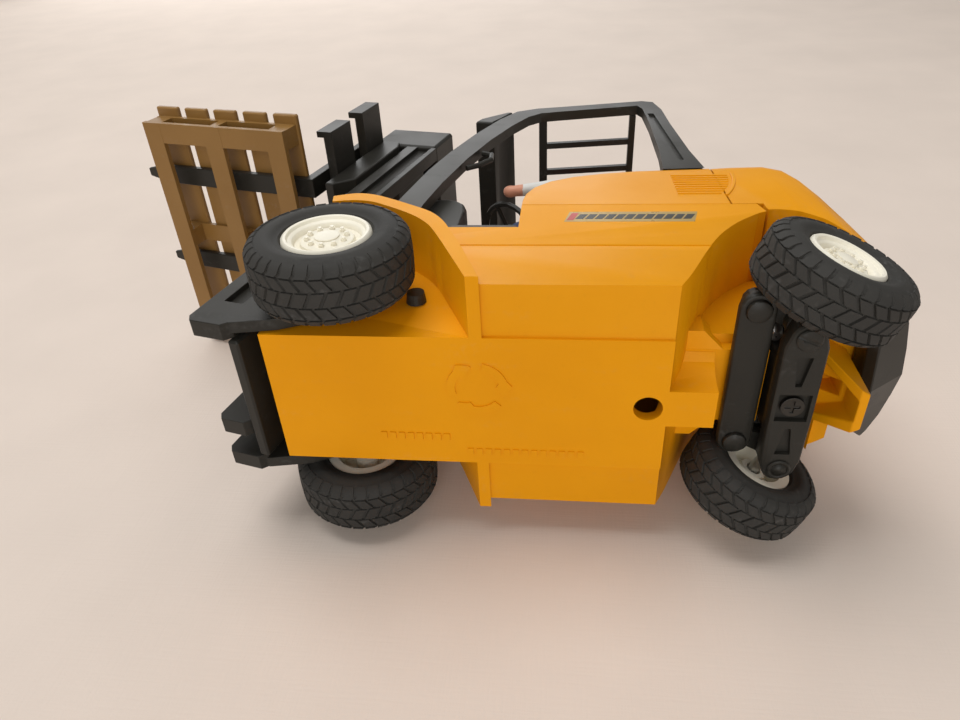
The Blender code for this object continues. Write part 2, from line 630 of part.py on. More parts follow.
# ---- running gear -------------------------------------------------------------------------------
def tyre(outer, inner, width):
    """A tyre with a crowned tread and rounded shoulders, turned about X."""
    half = width / 2
    profile = [(inner, -half + 1.0), (inner + 1.6, -half), (outer - 2.0, -half + 0.3), (outer - 0.4, -half + 2.0),
               (outer, 0.0)]
    profile += [(r, -h) for r, h in reversed(profile[:-1])]
    return lathe(profile, 36)


def rim(radius, width, set_back, bore):
    """A dished rim. Its open face looks along +X, with the hub cap standing in it."""
    half = width / 2
    seat_r = radius + 0.5
    face = half - set_back
    profile = [(bore, -half + 3.2), (2.9, -half + 3.2), (2.9, face - 4.4), (radius - 1.3, face - 4.4),
               (radius - 1.3, -half + 1.2), (seat_r, -half + 1.4), (seat_r, half - 1.6), (radius, half - 0.8),
               (radius - 1.4, face - 0.8), (radius - 2.4, face - 1.8), (3.6, face - 1.8), (3.0, face), (bore, face)]
    return lathe(profile, 28)


def rear_axle_beam():
    """Fixed axle beam: lower and upper arm with a solid middle, bored for the kingpins and the screw."""
    y, z = REAR_AXLE
    ends = arc((KINGPIN_X, y), 3.4, -70, 70, 6)
    plan = [(0.0, y - 4.1), (KINGPIN_X - 2, y - 4.1)] + ends + [(KINGPIN_X - 2, y + 4.1), (0.0, y + 4.1)]
    plan += [(-x, b) for x, b in reversed(plan[1:-1])]
    lower = prism(plan, 8.0, 12.2, axis="Z", bevel=0.4)
    upper = prism(plan, 19.9, 22.4, axis="Z", bevel=0.3)
    middle = box((-9.4, 9.4), (y - 3.6, y + 3.6), (11.0, 21.0))
    post = box((-6.0, 6.0), (105.4 + GAP, 112.6), (20.0, 24.0 - GAP))
    tabs = [box(sorted((s * (CORE_HALF + GAP), s * 14.8)), (98.4, y - 2.0), (19.95, 22.35)) for s in (1, -1)]
    shape = union(lower, upper, middle, post, *tabs)
    holes = [rod(1.4 + GAP, (s * KINGPIN_X, y, 5.0), (s * KINGPIN_X, y, 25.0), 16) for s in (1, -1)]
    recess = box((-3.4, 3.4), (y - 3.2, y + 3.2), (7.0, 9.4))
    slots = [prism([(s * 5.4, y - 0.6), (s * 12.4, y - 1.6), (s * 12.4, y + 1.6), (s * 5.4, y + 0.6)], 7.0, 9.2, "Z")
             for s in (1, -1)]
    screw_hole = rod(1.2 + GAP, (0, y, 7.0), (0, y, 16.4), 16)
    return cut(shape, *holes, recess, *slots, screw_hole)


def beam_screw():
    """Cross-head screw under the middle of the beam."""
    y, _ = REAR_AXLE
    screw = union(rod(2.4, (0, 0, 8.3), (0, 0, 9.4 - GAP), 20), rod(1.2, (0, 0, 8.8), (0, 0, 16.0), 14))
    cross = [box((-1.5, 1.5), (-0.3, 0.3), (8.0, 8.7)), box((-0.3, 0.3), (-1.5, 1.5), (8.0, 8.7))]
    return moved(cut(screw, *cross), (0, y, 0))


def knuckle(side):
    """A steering knuckle around its kingpin: barrel, stub socket and forward arm, in the straight-ahead place."""
    low, high = 12.2 + GAP, 19.9 - GAP
    axle_z = REAR_AXLE[1]
    barrel = rod(3.3, (0, 0, low), (0, 0, high), 20)
    tip = (0.0, -ARM_LENGTH)
    arm = prism([(-2.6, 0.0), (-1.9, -ARM_LENGTH)] + arc(tip, 2.5, 180, 360, 6) + [(1.9, -ARM_LENGTH), (2.6, 0.0)],
                15.2, 17.4, axis="Z")
    shape = union(barrel, arm)
    pin_hole = rod(1.4 + GAP, (0, 0, 10), (0, 0, 25), 16)
    eye = rod(1.0 + GAP, (tip[0], tip[1], 12), (tip[0], tip[1], 20), 14)
    socket = rod(1.3 + 0.1, (side * 2.3, 0, axle_z), (side * 6.0, 0, axle_z), 14)
    return cut(shape, pin_hole, eye, socket)


def tie_rod():
    """Flat link between the knuckle arms, drawn around its middle."""
    ends = arc((KINGPIN_X, 0.0), 3.6, -90, 90, 8)
    plan = ends + [(-x, -y) for x, y in ends]
    link = prism(plan, 12.4, 14.8, axis="Z", bevel=0.4)
    holes = [rod(1.0 + GAP, (s * KINGPIN_X, 0, 10), (s * KINGPIN_X, 0, 20), 14) for s in (1, -1)]
    return cut(link, *holes)


def domed_pin(radius, head, low, rise, high):
    """A pin with a domed head below and a shank above."""
    rings = []
    for r, z in [(head * 0.6, low), (head * 0.9, low + rise * 0.4), (head, low + rise), (radius, low + rise + 0.1),
                 (radius, high)]:
        rings.append([(r * math.cos(a), r * math.sin(a), z) for a in (2 * math.pi * k / 14 for k in range(14))])
    return loft(rings)


# ---- driver -------------------------------------------------------------------------------------
def driver_body():
    """Seated torso and legs of a plain doll."""
    def ellipse(centre, half_x, half_y, lean=0.0):
        cx, cy, cz = centre
        return [(cx + half_x * math.cos(a), cy + half_y * math.sin(a), cz + lean * math.sin(a))
                for a in (2 * math.pi * k / 14 for k in range(14))]

    torso = loft([ellipse((0, 65.2, 80.2), 7.4, 4.6), ellipse((0, 65.2, 86.0), 7.0, 4.4),
                  ellipse((0, 65.4, 96.0), 7.9, 4.6), ellipse((0, 65.6, 102.0), 7.6, 4.2),
                  ellipse((0, 65.6, 105.2), 5.2, 3.4), ellipse((0, 65.6, 106.4), 2.4, 2.2)])
    parts = [torso]
    for s in (1, -1):
        parts.append(rod(3.8, (s * 4.6, 66.0, 84.2), (s * 6.4, 49.2, 77.6), 12, 3.1))
        parts.append(ball((s * 6.4, 49.2, 77.4), (3.2, 3.2, 3.2), 12, 8))
        parts.append(rod(2.9, (s * 6.4, 48.6, 77.0), (s * 6.6, 46.4, 40.0), 12, 2.4))
        parts.append(box((s * 6.6 - 2.6, s * 6.6 + 2.6), (39.4, 49.4), (SILL_Z + 1.5 + GAP, 40.6), 0.8))
    return union(*parts)


def driver_head():
    """Head with a simple hard hat, drawn around the neck."""
    head = ball((0, 0, 8.2), (5.6, 6.0, 6.6), 16, 10)
    neck = rod(2.3, (0, 0, 0), (0, 0, 4.0), 14)
    nose = ball((0, -6.0, 7.4), (0.9, 0.9, 1.1), 8, 6)
    ears = [ball((s * 5.5, 0.2, 7.6), (0.8, 1.3, 1.7), 8, 6) for s in (1, -1)]
    return union(head, neck, nose, *ears)


def hard_hat():
    """Safety helmet: half dome, brim and ridge, hollow underneath."""
    dome = ball((0, 0, 10.0), (6.7, 7.1, 6.6), 18, 12)
    dome = cut(dome, box((-10, 10), (-10, 10), (0, 10.2)))
    brim = prism([(7.4 * math.cos(a), -0.6 + 8.6 * math.sin(a) if math.sin(a) < 0 else 7.7 * math.sin(a))
                  for a in (2 * math.pi * k / 20 for k in range(20))], 9.8, 10.7, "Z")
    ridge = box((-0.8, 0.8), (-5.0, 5.0), (14.0, 17.1), 0.3)
    hollow = ball((0, 0, 8.2), (5.6 + GAP, 6.0 + GAP, 6.6 + GAP), 16, 10)
    return cut(union(dome, brim, ridge), hollow, box((-5.3, 5.3), (-5.7, 5.7), (5.0, 10.6)))


def driver_arm(side):
    """Arm reaching for the steering wheel, drawn around the shoulder."""
    elbow = (side * 3.4, -6.4, -9.0)
    hand = (side * 1.5, -19.0, -7.6)
    upper = rod(2.5, (0, 0, 0), elbow, 10, 2.1)
    lower = rod(2.2, elbow, hand, 10, 1.7)
    fist = ball(hand, (2.0, 2.3, 2.0), 10, 6)
    return union(ball((0, 0, 0), (2.7, 2.8, 2.8), 10, 6), upper, ball(elbow, (2.25, 2.25, 2.25), 10, 6), lower, fist)


# ---- assembly -----------------------------------------------------------------------------------
def build():
    """Make every sub-part in its place."""
    clear_scene()
    yellow = material("amber_abs", (0.80, 0.36, 0.005), 0.38)
    black = material("black_abs", (0.022, 0.021, 0.019), 0.45)
    rubber = material("tyre_rubber", (0.018, 0.017, 0.016), 0.75)
    white = material("rim_white", (0.82, 0.78, 0.66), 0.4)
    brown = material("pallet_brown", (0.27, 0.125, 0.025), 0.45)
    steel = material("steel", (0.62, 0.61, 0.59), 0.25, 1.0)
    dark_steel = material("dark_steel", (0.06, 0.058, 0.055), 0.35, 1.0)
    cloth = material("seat_grey", (0.10, 0.12, 0.10), 0.7)
    shirt = material("shirt_white", (0.75, 0.75, 0.72), 0.6)
    skin = material("doll_skin", (0.72, 0.36, 0.24), 0.5)
    red = material("hat_red", (0.45, 0.04, 0.03), 0.4)

    vehicle = empty("vehicle", (0, -CENTRE_Y, 0))
    piece("chassis_shell", chassis_shell(), yellow, vehicle)
    piece("engine_hood", engine_hood(), yellow, vehicle)
    piece("counterweight", counterweight(), yellow, vehicle)
    piece("tow_hitch", tow_hitch(), yellow, vehicle)
    piece("rear_bumper", rear_bumper(), black, vehicle)
    piece("cab_floor", cab_floor(), black, vehicle)
    piece("dashboard", dashboard(), black, vehicle)
    piece("seat", seat(), cloth, vehicle)
    piece("guard_frame_left", guard_frame(1), black, vehicle)
    piece("guard_frame_right", guard_frame(-1), black, vehicle)
    piece("guard_roof", guard_roof(), black, vehicle)
    piece("guard_visor", guard_visor(), black, vehicle)
    piece("grab_handle", grab_handle(), black, vehicle)
    for name, side in (("left", 1), ("right", -1)):
        x = side * PLATE_HALF
        peg = rod(2.2, (x + side * GAP, 30.7, 20.2), (x + side * 2.6, 30.7, 20.2), 16, 1.9)
        piece(f"chassis_peg_{name}", peg, black, vehicle)

    # steering wheel, column and levers
    lean = Matrix.Rotation(-WHEEL_LEAN, 3, "X") @ Vector((0, 0, 1))
    foot = WHEEL_CENTRE - lean * 14.2
    column = rod(1.3, foot, WHEEL_CENTRE - lean * (1.0 + GAP), 14)
    column = cut(column, moved(dashboard(), (0, 0.3, 0.2)))
    piece("steering_column", column, black, vehicle)
    hub = empty("steering_hub", WHEEL_CENTRE, vehicle, (-WHEEL_LEAN, 0, 0))
    piece("steering_wheel", steering_wheel(), black, hub)
    for index, x in enumerate((-15.0, -19.0)):
        socket = empty(f"lever_socket_{index + 1}", (x, 32.0, 65.7 + GAP), vehicle, (math.radians(-12), 0, 0))
        piece(f"lever_{index + 1}", lever(9.0 - index), black, socket)

    # front wheels
    front_axle = rod(1.5, (-33.6, 0, 0), (33.6, 0, 0), 20)
    axle_place = empty("front_axle_line", (0, *FRONT_AXLE), vehicle)
    piece("front_axle", front_axle, steel, axle_place)
    for name, side in (("left", 1), ("right", -1)):
        hub = empty(f"front_hub_{name}", (side * FRONT_MID_X, *FRONT_AXLE), vehicle)
        turn = None if side > 0 else Matrix.Rotation(math.pi, 4, "Z")
        piece(f"front_tyre_{name}", moved(tyre(FRONT_TYRE_R, FRONT_RIM_R + 0.8, FRONT_TYRE_W), turn=turn), rubber, hub)
        piece(f"front_rim_{name}", moved(rim(FRONT_RIM_R, FRONT_TYRE_W, 1.6, 1.5 + GAP), turn=turn), white, hub)

    # steered rear axle
    y, z = REAR_AXLE
    piece("rear_axle_beam", rear_axle_beam(), black, vehicle)
    piece("beam_screw", beam_screw(), dark_steel, vehicle)
    for name, side in (("left", 1), ("right", -1)):
        pin = domed_pin(1.4, 2.5, 7.3, 0.4, 22.0)
        piece(f"kingpin_{name}", moved(pin, (side * KINGPIN_X, y, 0)), black, vehicle)
        pivot = empty(f"knuckle_pivot_{name}", (side * KINGPIN_X, y, 0), vehicle, (0, 0, STEER))
        piece(f"knuckle_{name}", knuckle(side), black, pivot)
        stub = rod(1.3, (side * 2.4, 0, z), (side * (WHEEL_OFFSET + 4.6), 0, z), 16)
        piece(f"stub_axle_{name}", stub, steel, pivot)
        hub = empty(f"rear_hub_{name}", (side * WHEEL_OFFSET, 0, z), pivot)
        turn = None if side > 0 else Matrix.Rotation(math.pi, 4, "Z")
        piece(f"rear_tyre_{name}", moved(tyre(REAR_TYRE_R, REAR_RIM_R + 0.8, REAR_TYRE_W), turn=turn), rubber, hub)
        piece(f"rear_rim_{name}", moved(rim(REAR_RIM_R, REAR_TYRE_W, 1.4, 1.3 + GAP), turn=turn), white, hub)
    link_x = ARM_LENGTH * math.sin(STEER)
    link_y = y - ARM_LENGTH * math.cos(STEER)
    link = empty("tie_rod_middle", (link_x, link_y, 0), vehicle)
    piece("tie_rod", tie_rod(), black, link)
    for name, side in (("left", 1), ("right", -1)):
        pin = domed_pin(1.0, 2.6, 11.2, 0.9, 17.6)
        piece(f"tie_rod_pin_{name}", moved(pin, (side * KINGPIN_X, 0, 0)), black, link)

    # mast, carriage, forks and pallet
    mast = empty("mast_pivot", (0, *FRONT_AXLE), vehicle, (-MAST_TILT, 0, 0))
    piece("mast_rail_left", mast_rail(1), black, mast)
    piece("mast_rail_right", mast_rail(-1), black, mast)
    piece("latch_rail", latch_rail(), black, mast)
    piece("mast_foot", mast_foot(), black, mast)
    piece("mast_head", mast_head(), black, mast)
    lift = empty("carriage_lift", (0, 0, LIFT), mast)
    piece("carriage_bar_lower", carriage_bar(-4.0), black, lift)
    piece("carriage_bar_upper", carriage_bar(14.6), black, lift)
    piece("carriage_cheek_left", carriage_cheek(1), black, lift)
    piece("carriage_cheek_right", carriage_cheek(-1), black, lift)
    for name, x in (("left", FORK_LEFT_X), ("right", FORK_RIGHT_X)):
        slide = empty(f"fork_slide_{name}", (x, 0, 0), lift)
        piece(f"fork_{name}", fork(), black, slide)
    piece("pallet", pallet(), brown, empty("pallet_slide", (0, 0, 0), lift))

    # driver
    piece("driver_body", cut(driver_body(), moved(seat(), (0, -0.3, 0.3)), moved(seat(), (0, -0.3, 0))), shirt, vehicle)
    neck = empty("driver_neck", (0, 65.6, 106.4 + GAP), vehicle)
    piece("driver_head", driver_head(), skin, neck)
    piece("hard_hat", hard_hat(), red, neck)
    for name, side in (("left", 1), ("right", -1)):
        shoulder = empty(f"shoulder_{name}", (side * 10.9, 64.4, 100.4), vehicle)
        piece(f"driver_arm_{name}", driver_arm(side), shirt, shoulder)


if __name__ == "__main__":
    build()
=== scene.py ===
"""Looks of a 1:16 toy forklift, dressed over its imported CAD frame.

Lengths in the builders are millimetres; Workshop.place() turns them into metres. Positions come
from the frame's own boxes and joints. Each sub-assembly is a dataclass whose build() makes its pieces
and names each one's finish.
"""

from __future__ import annotations

import json
import logging
import math
from dataclasses import dataclass, field
from enum import Enum
from typing import Callable, Optional, Sequence, Union

import bmesh
import bpy
from mathutils import Matrix, Vector
from mathutils.bvhtree import BVHTree

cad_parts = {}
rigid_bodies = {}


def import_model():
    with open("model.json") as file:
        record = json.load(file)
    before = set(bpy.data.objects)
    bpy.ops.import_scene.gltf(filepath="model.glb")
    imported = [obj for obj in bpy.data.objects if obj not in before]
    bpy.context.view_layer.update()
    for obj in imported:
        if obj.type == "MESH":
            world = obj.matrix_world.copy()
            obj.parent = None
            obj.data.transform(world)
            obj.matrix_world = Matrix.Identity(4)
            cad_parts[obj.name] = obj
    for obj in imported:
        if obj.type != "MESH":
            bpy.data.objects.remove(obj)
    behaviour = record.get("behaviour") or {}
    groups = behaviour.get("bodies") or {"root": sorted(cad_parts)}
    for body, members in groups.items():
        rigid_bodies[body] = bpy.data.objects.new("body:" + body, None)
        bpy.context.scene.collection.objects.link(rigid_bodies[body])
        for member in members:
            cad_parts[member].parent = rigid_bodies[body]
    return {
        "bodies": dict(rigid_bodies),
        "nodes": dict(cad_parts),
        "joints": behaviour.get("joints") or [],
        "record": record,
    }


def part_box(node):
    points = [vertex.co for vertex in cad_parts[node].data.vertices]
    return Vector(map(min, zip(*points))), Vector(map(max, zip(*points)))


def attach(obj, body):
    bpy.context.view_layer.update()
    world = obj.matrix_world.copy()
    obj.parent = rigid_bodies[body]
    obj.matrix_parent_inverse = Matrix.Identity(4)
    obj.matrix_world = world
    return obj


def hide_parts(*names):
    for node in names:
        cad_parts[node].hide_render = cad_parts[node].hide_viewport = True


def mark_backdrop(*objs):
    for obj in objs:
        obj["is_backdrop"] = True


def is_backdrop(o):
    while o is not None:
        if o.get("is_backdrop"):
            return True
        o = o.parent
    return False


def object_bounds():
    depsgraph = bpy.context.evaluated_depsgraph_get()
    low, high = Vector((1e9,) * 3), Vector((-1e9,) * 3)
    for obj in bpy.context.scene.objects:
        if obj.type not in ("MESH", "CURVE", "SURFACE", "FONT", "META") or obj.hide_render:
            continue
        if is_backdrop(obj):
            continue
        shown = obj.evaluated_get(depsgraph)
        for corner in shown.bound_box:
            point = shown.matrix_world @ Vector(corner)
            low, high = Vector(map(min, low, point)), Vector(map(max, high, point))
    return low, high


LOG = logging.getLogger("forklift")
MM = 0.001

Colour = tuple[float, float, float]
Number = Union[int, float]
Span = tuple[float, float]


# ---- shader language ----------------------------------------------------------------------------
class Signal:
    """A shader socket that can be used in arithmetic."""

    def __init__(self, graph: "Graph", socket: bpy.types.NodeSocket) -> None:
        """Wrap a socket that belongs to a graph."""
        self.graph = graph
        self.socket = socket

    def _math(self, operation: str, first: object, second: object) -> "Signal":
        """Join two values with a Math node."""
        return self.graph.node("ShaderNodeMath", {"operation": operation}, {0: first, 1: second})

    def __add__(self, other: object) -> "Signal":
        """Sum with a number or a signal."""
        return self._math("ADD", self, other)

    def __radd__(self, other: object) -> "Signal":
        """Sum with a number on the left."""
        return self._math("ADD", other, self)

    def __sub__(self, other: object) -> "Signal":
        """Difference."""
        return self._math("SUBTRACT", self, other)

    def __rsub__(self, other: object) -> "Signal":
        """Difference from a number on the left."""
        return self._math("SUBTRACT", other, self)

    def __mul__(self, other: object) -> "Signal":
        """Product."""
        return self._math("MULTIPLY", self, other)

    def __rmul__(self, other: object) -> "Signal":
        """Product with a number on the left."""
        return self._math("MULTIPLY", other, self)

    def __truediv__(self, other: object) -> "Signal":
        """Quotient."""
        return self._math("DIVIDE", self, other)

    def __rtruediv__(self, other: object) -> "Signal":
        """Quotient of a number on the left."""
        return self._math("DIVIDE", other, self)

    def power(self, exponent: Number) -> "Signal":
        """Raise to a power."""
        return self._math("POWER", self, exponent)

    def span(self, low: float, high: float, to_low: float = 0.0, to_high: float = 1.0) -> "Signal":
        """Stretch and clamp a range of values onto another.

        Args:
            low: value that becomes to_low.
            high: value that becomes to_high.
            to_low: result at and below low.
            to_high: result at and above high.

        Returns:
            The remapped signal.
        """
        values = {"From Min": low, "From Max": high, "To Min": to_low, "To Max": to_high, "Value": self}
        return self.graph.node("ShaderNodeMapRange", {"clamp": True}, values)


class Graph:
    """A material's node tree with short calls for the nodes used here."""

    def __init__(self, name: str) -> None:
        """Start a material with an empty tree and its Principled shader."""
        self.material = bpy.data.materials.new(name)
        self.material.use_nodes = True
        self.tree = self.material.node_tree
        self.shader = self.tree.nodes["Principled BSDF"]

    def node(self, kind: str, settings: Optional[dict] = None, values: Optional[dict] = None,
             output: Union[int, str] = 0) -> Signal:
        """Make one node.

        Args:
            kind: the node's type name.
            settings: properties set on the node.
            values: socket name or index to a constant or a signal.
            output: which output to return.

        Returns:
            The chosen output as a signal.
        """
        made = self.tree.nodes.new(kind)
        for key, value in (settings or {}).items():
            setattr(made, key, value)
        for key, value in (values or {}).items():
            self.feed(made.inputs[key], value)
        return Signal(self, made.outputs[output])

    def feed(self, socket: bpy.types.NodeSocket, value: object) -> None:
        """Link a signal into a socket, or set its constant."""
        if isinstance(value, Signal):
            self.tree.links.new(value.socket, socket)
            return
        if isinstance(value, tuple) and socket.type == "RGBA":
            value = (*value[:3], 1.0)
        socket.default_value = value

    def place(self) -> Signal:
        """Object coordinates, in metres."""
        return self.node("ShaderNodeTexCoord", output="Object")

    def stretched(self, scale: Colour) -> Signal:
        """Object coordinates scaled by a vector with Vector Math."""
        return self.node("ShaderNodeVectorMath", {"operation": "MULTIPLY"}, {0: self.place(), 1: scale})

    def noise(self, per_mm: float, detail: float = 3.0, along: Colour = (1.0, 1.0, 1.0)) -> Signal:
        """A noise value.

        Args:
            per_mm: features per millimetre.
            detail: octaves.
            along: stretch for each axis.

        Returns:
            A value around a half.
        """
        vector = self.stretched(tuple(1000.0 * per_mm * k for k in along))
        return self.node("ShaderNodeTexNoise", values={"Vector": vector, "Scale": 1.0, "Detail": detail})

    def blend(self, factor: object, first: object, second: object, mode: str = "MIX") -> Signal:
        """Blend two colours with a Mix node.

        Args:
            factor: 0 for the first, 1 for the second.
            first: colour or signal.
            second: colour or signal.
            mode: the Mix node's blend type.

        Returns:
            The blended colour.
        """
        made = self.tree.nodes.new("ShaderNodeMix")
        made.data_type = "RGBA"
        made.blend_type = mode
        self.feed(made.inputs["Factor"], factor)
        colours = [socket for socket in made.inputs if socket.type == "RGBA"]
        self.feed(colours[0], first)
        self.feed(colours[1], second)
        return Signal(self, next(socket for socket in made.outputs if socket.type == "RGBA"))

    def crease_shade(self, reach_mm: float) -> Signal:
        """Mask for painted crease shade from ambient occlusion: 0 in the open, near 1 in a crease."""
        open_sky = self.node("ShaderNodeAmbientOcclusion", {"samples": 6}, {"Distance": reach_mm * MM}, "AO")
        return (1.0 - open_sky).span(0.35, 0.9)

    def bump(self, height: Signal, depth_mm: float) -> Signal:
        """A normal from a height whose full swing is depth_mm."""
        return self.node("ShaderNodeBump", {}, {"Height": height, "Strength": 1.0, "Distance": depth_mm * MM})

    def set(self, name: str, value: object) -> None:
        """Feed one input of the Principled shader."""
        self.feed(self.shader.inputs[name], value)


class Kind(Enum):
    """Families of finish."""

    PLASTIC = "plastic"
    RUBBER = "rubber"
    METAL = "metal"
    GRAINED = "grained"
    LENS = "lens"


@dataclass(frozen=True)
class Finish:
    """A surface recipe: base and shade colours, gloss, moulding grain, wear, dust and painted crease shade.
    """

    name: str
    colour: Colour
    shade: Colour
    roughness: float
    kind: Kind = Kind.PLASTIC
    grain_mm: float = 0.012
    wear: float = 0.25
    # The next two set both dust and painted crease shade: how much, and which colour, is blended into
    # occluded creases and random flecks.
    dust_and_crease_shade: float = 0.15
    dust_and_crease_shade_colour: Colour = (0.42, 0.38, 0.31)
    coat: float = 0.0
    metallic: float = 0.0
    specular: float = 0.4

    def material(self) -> bpy.types.Material:
        """Build the material.

        Returns:
            A material with varied colour, painted crease shade, gloss and relief.
        """
        graph = Graph(self.name)
        cloud = graph.noise(0.045, 4.0)
        fleck = graph.noise(0.9, 2.0)
        pores = graph.noise(3.2, 2.0)
        colour = graph.blend(cloud.span(0.3, 0.72), self.colour, self.shade)
        rough = cloud.span(0.3, 0.7, self.roughness - 0.05, self.roughness + 0.07)
        height = pores * 0.6 + fleck * 0.4
        if self.kind is Kind.GRAINED:
            fibre = graph.noise(0.55, 5.0, (0.07, 1.0, 1.0))
            ring = graph.noise(0.16, 3.0, (0.12, 1.0, 1.0))
            streak = (fibre * 0.6 + ring * 0.4).span(0.36, 0.64)
            colour = graph.blend(streak * 0.75, colour, tuple(0.42 * c for c in self.shade))
            height = height * 0.25 + streak * 0.75
            rough = rough + streak * 0.12
        scuff = graph.noise(0.35, 6.0, (1.0, 0.16, 0.55)).span(0.56, 0.74)
        rough = rough + scuff * (0.3 * self.wear)
        pale = tuple(min(1.0, 0.5 * c + 0.28) for c in self.colour)
        colour = graph.blend(scuff * fleck.span(0.45, 0.7) * (0.35 * self.wear), colour, pale)
        # Painted crease shade and dust: an ambient-occlusion mask blends corners and creases, where shade
        # falls, towards the crease colour, which darkens the amber and white finishes; random flecks add
        # dust.
        if self.dust_and_crease_shade > 0.0 and self.kind is not Kind.METAL:
            crease_shade_and_dust = graph.crease_shade(2.5) * self.dust_and_crease_shade + fleck.span(0.6, 0.8) * (self.dust_and_crease_shade * 0.25)
            colour = graph.blend(crease_shade_and_dust, colour, self.dust_and_crease_shade_colour)
            rough = rough + crease_shade_and_dust * 0.5
        if self.kind is Kind.METAL:
            turned = graph.noise(2.2, 4.0, (0.1, 1.0, 1.0))
            rough = rough + turned * 0.14
            height = turned
        graph.set("Base Color", colour)
        graph.set("Roughness", rough)
        graph.set("Metallic", self.metallic)
        graph.set("Coat Weight", self.coat)
        graph.set("Specular IOR Level", self.specular)
        graph.set("Coat Roughness", 0.2)
        graph.set("Normal", graph.bump(height, self.grain_mm))
        graph.material.diffuse_color = (*self.colour, 1.0)
        return graph.material


FINISHES: dict[str, Finish] = {
    "amber_abs": Finish("amber_abs", (0.84, 0.345, 0.002), (0.79, 0.315, 0.002),
                        0.44, grain_mm=0.010, wear=0.25,
                        dust_and_crease_shade=0.2, dust_and_crease_shade_colour=(0.36, 0.17, 0.02), coat=0.02, specular=0.12),
    "black_abs": Finish("black_abs", (0.017, 0.016, 0.013), (0.026, 0.024, 0.019),
                        0.40, grain_mm=0.012, wear=0.3,
                        dust_and_crease_shade=0.12, dust_and_crease_shade_colour=(0.12, 0.11, 0.09), specular=0.3),
    "tyre_rubber": Finish("tyre_rubber", (0.020, 0.019, 0.017), (0.036, 0.034, 0.030),
                        0.72, Kind.RUBBER, 0.03, 0.5,
                          0.35, (0.17, 0.16, 0.14)),
    "rim_white": Finish("rim_white", (0.92, 0.88, 0.76), (0.88, 0.83, 0.69),
                        0.42, grain_mm=0.008, wear=0.1,
                        dust_and_crease_shade=0.22, dust_and_crease_shade_colour=(0.45, 0.38, 0.28)),
    "pallet_brown": Finish("pallet_brown", (0.285, 0.150, 0.038), (0.25, 0.128, 0.031),
                        0.44, grain_mm=0.012, wear=0.3,
                           dust_and_crease_shade=0.2, dust_and_crease_shade_colour=(0.12, 0.06, 0.02)),
    "dark_steel": Finish("dark_steel", (0.070, 0.066, 0.060), (0.045, 0.043, 0.040),
                        0.34, Kind.METAL, 0.01, 0.2, 0.0,
                         metallic=1.0),
    "steel": Finish("steel", (0.66, 0.65, 0.62), (0.52, 0.51, 0.49), 0.24, Kind.METAL, 0.01, 0.2, 0.0,
                    metallic=1.0),
    "seat_grey": Finish("seat_grey", (0.055, 0.058, 0.050), (0.040, 0.042, 0.036),
                        0.62, grain_mm=0.03, wear=0.3),
    "shirt_white": Finish("shirt_white", (0.80, 0.80, 0.77), (0.70, 0.70, 0.66),
                        0.58, grain_mm=0.014, wear=0.1,
                          dust_and_crease_shade=0.2),
    "doll_skin": Finish("doll_skin", (0.74, 0.35, 0.23), (0.66, 0.29, 0.18),
                        0.5, grain_mm=0.008, wear=0.05,
                        dust_and_crease_shade=0.12, dust_and_crease_shade_colour=(0.3, 0.1, 0.05)),
    "hat_red": Finish("hat_red", (0.48, 0.03, 0.02), (0.38, 0.02, 0.015), 0.36, coat=0.2),
}
EXTRAS: dict[str, Finish] = {
    "trousers": Finish("trousers", (0.035, 0.055, 0.13), (0.025, 0.040, 0.10), 0.66, grain_mm=0.03),
    "boots": Finish("boots", (0.045, 0.028, 0.018), (0.030, 0.020, 0.014), 0.5),
    "eye_ink": Finish("eye_ink", (0.012, 0.010, 0.010), (0.018, 0.015, 0.014), 0.3, dust_and_crease_shade=0.0),
    "red_lens": Finish("red_lens", (0.52, 0.015, 0.01), (0.40, 0.01, 0.008),
                        0.14, Kind.LENS, 0.02, 0.1, 0.1,
                       coat=0.6),
    "clear_lens": Finish("clear_lens", (0.78, 0.78, 0.74), (0.68, 0.68, 0.64),
                        0.12, Kind.LENS, 0.03, 0.1, 0.1,
                         coat=0.6),
    "silver_film": Finish("silver_film", (0.48, 0.33, 0.11), (0.42, 0.29, 0.10),
                        0.3, grain_mm=0.002, dust_and_crease_shade=0.05,
                          metallic=0.2),
    "sticker": Finish("sticker", (0.030, 0.030, 0.028), (0.040, 0.039, 0.036),
                        0.3, grain_mm=0.003, dust_and_crease_shade=0.1),
}


# ---- mesh tools, in millimetres -----------------------------------------------------------------
Ring = list[tuple[float, float, float]]


def skin(bm: bmesh.types.BMesh, rings: Sequence[Ring], closed: bool = False) -> None:
    """Skin rings of equal length into a bmesh.

    Args:
        bm: where the faces go.
        rings: the cross-sections in order.
        closed: join the last ring to the first instead of capping both.
    """
    rows = [[bm.verts.new(point) for point in ring] for ring in rings]
    count = len(rows[0])
    pairs = list(zip(rows, rows[1:]))
    if closed:
        pairs.append((rows[-1], rows[0]))
    for row, following in pairs:
        for i in range(count):
            j = (i + 1) % count
            bm.faces.new((row[i], row[j], following[j], following[i]))
    if not closed:
        bm.faces.new(rows[0])
        bm.faces.new(rows[-1])


def turned(bm: bmesh.types.BMesh, profile: Sequence[tuple[float, float]], segments: int) -> None:
    """Turn a closed (radius, along) profile about X.

    Args:
        bm: where the faces go.
        profile: points of the section.
        segments: steps round the axis.
    """
    rings = []
    for step in range(segments):
        a = 2.0 * math.pi * step / segments
        rings.append([(h, r * math.cos(a), r * math.sin(a)) for r, h in profile])
    skin(bm, rings, closed=True)


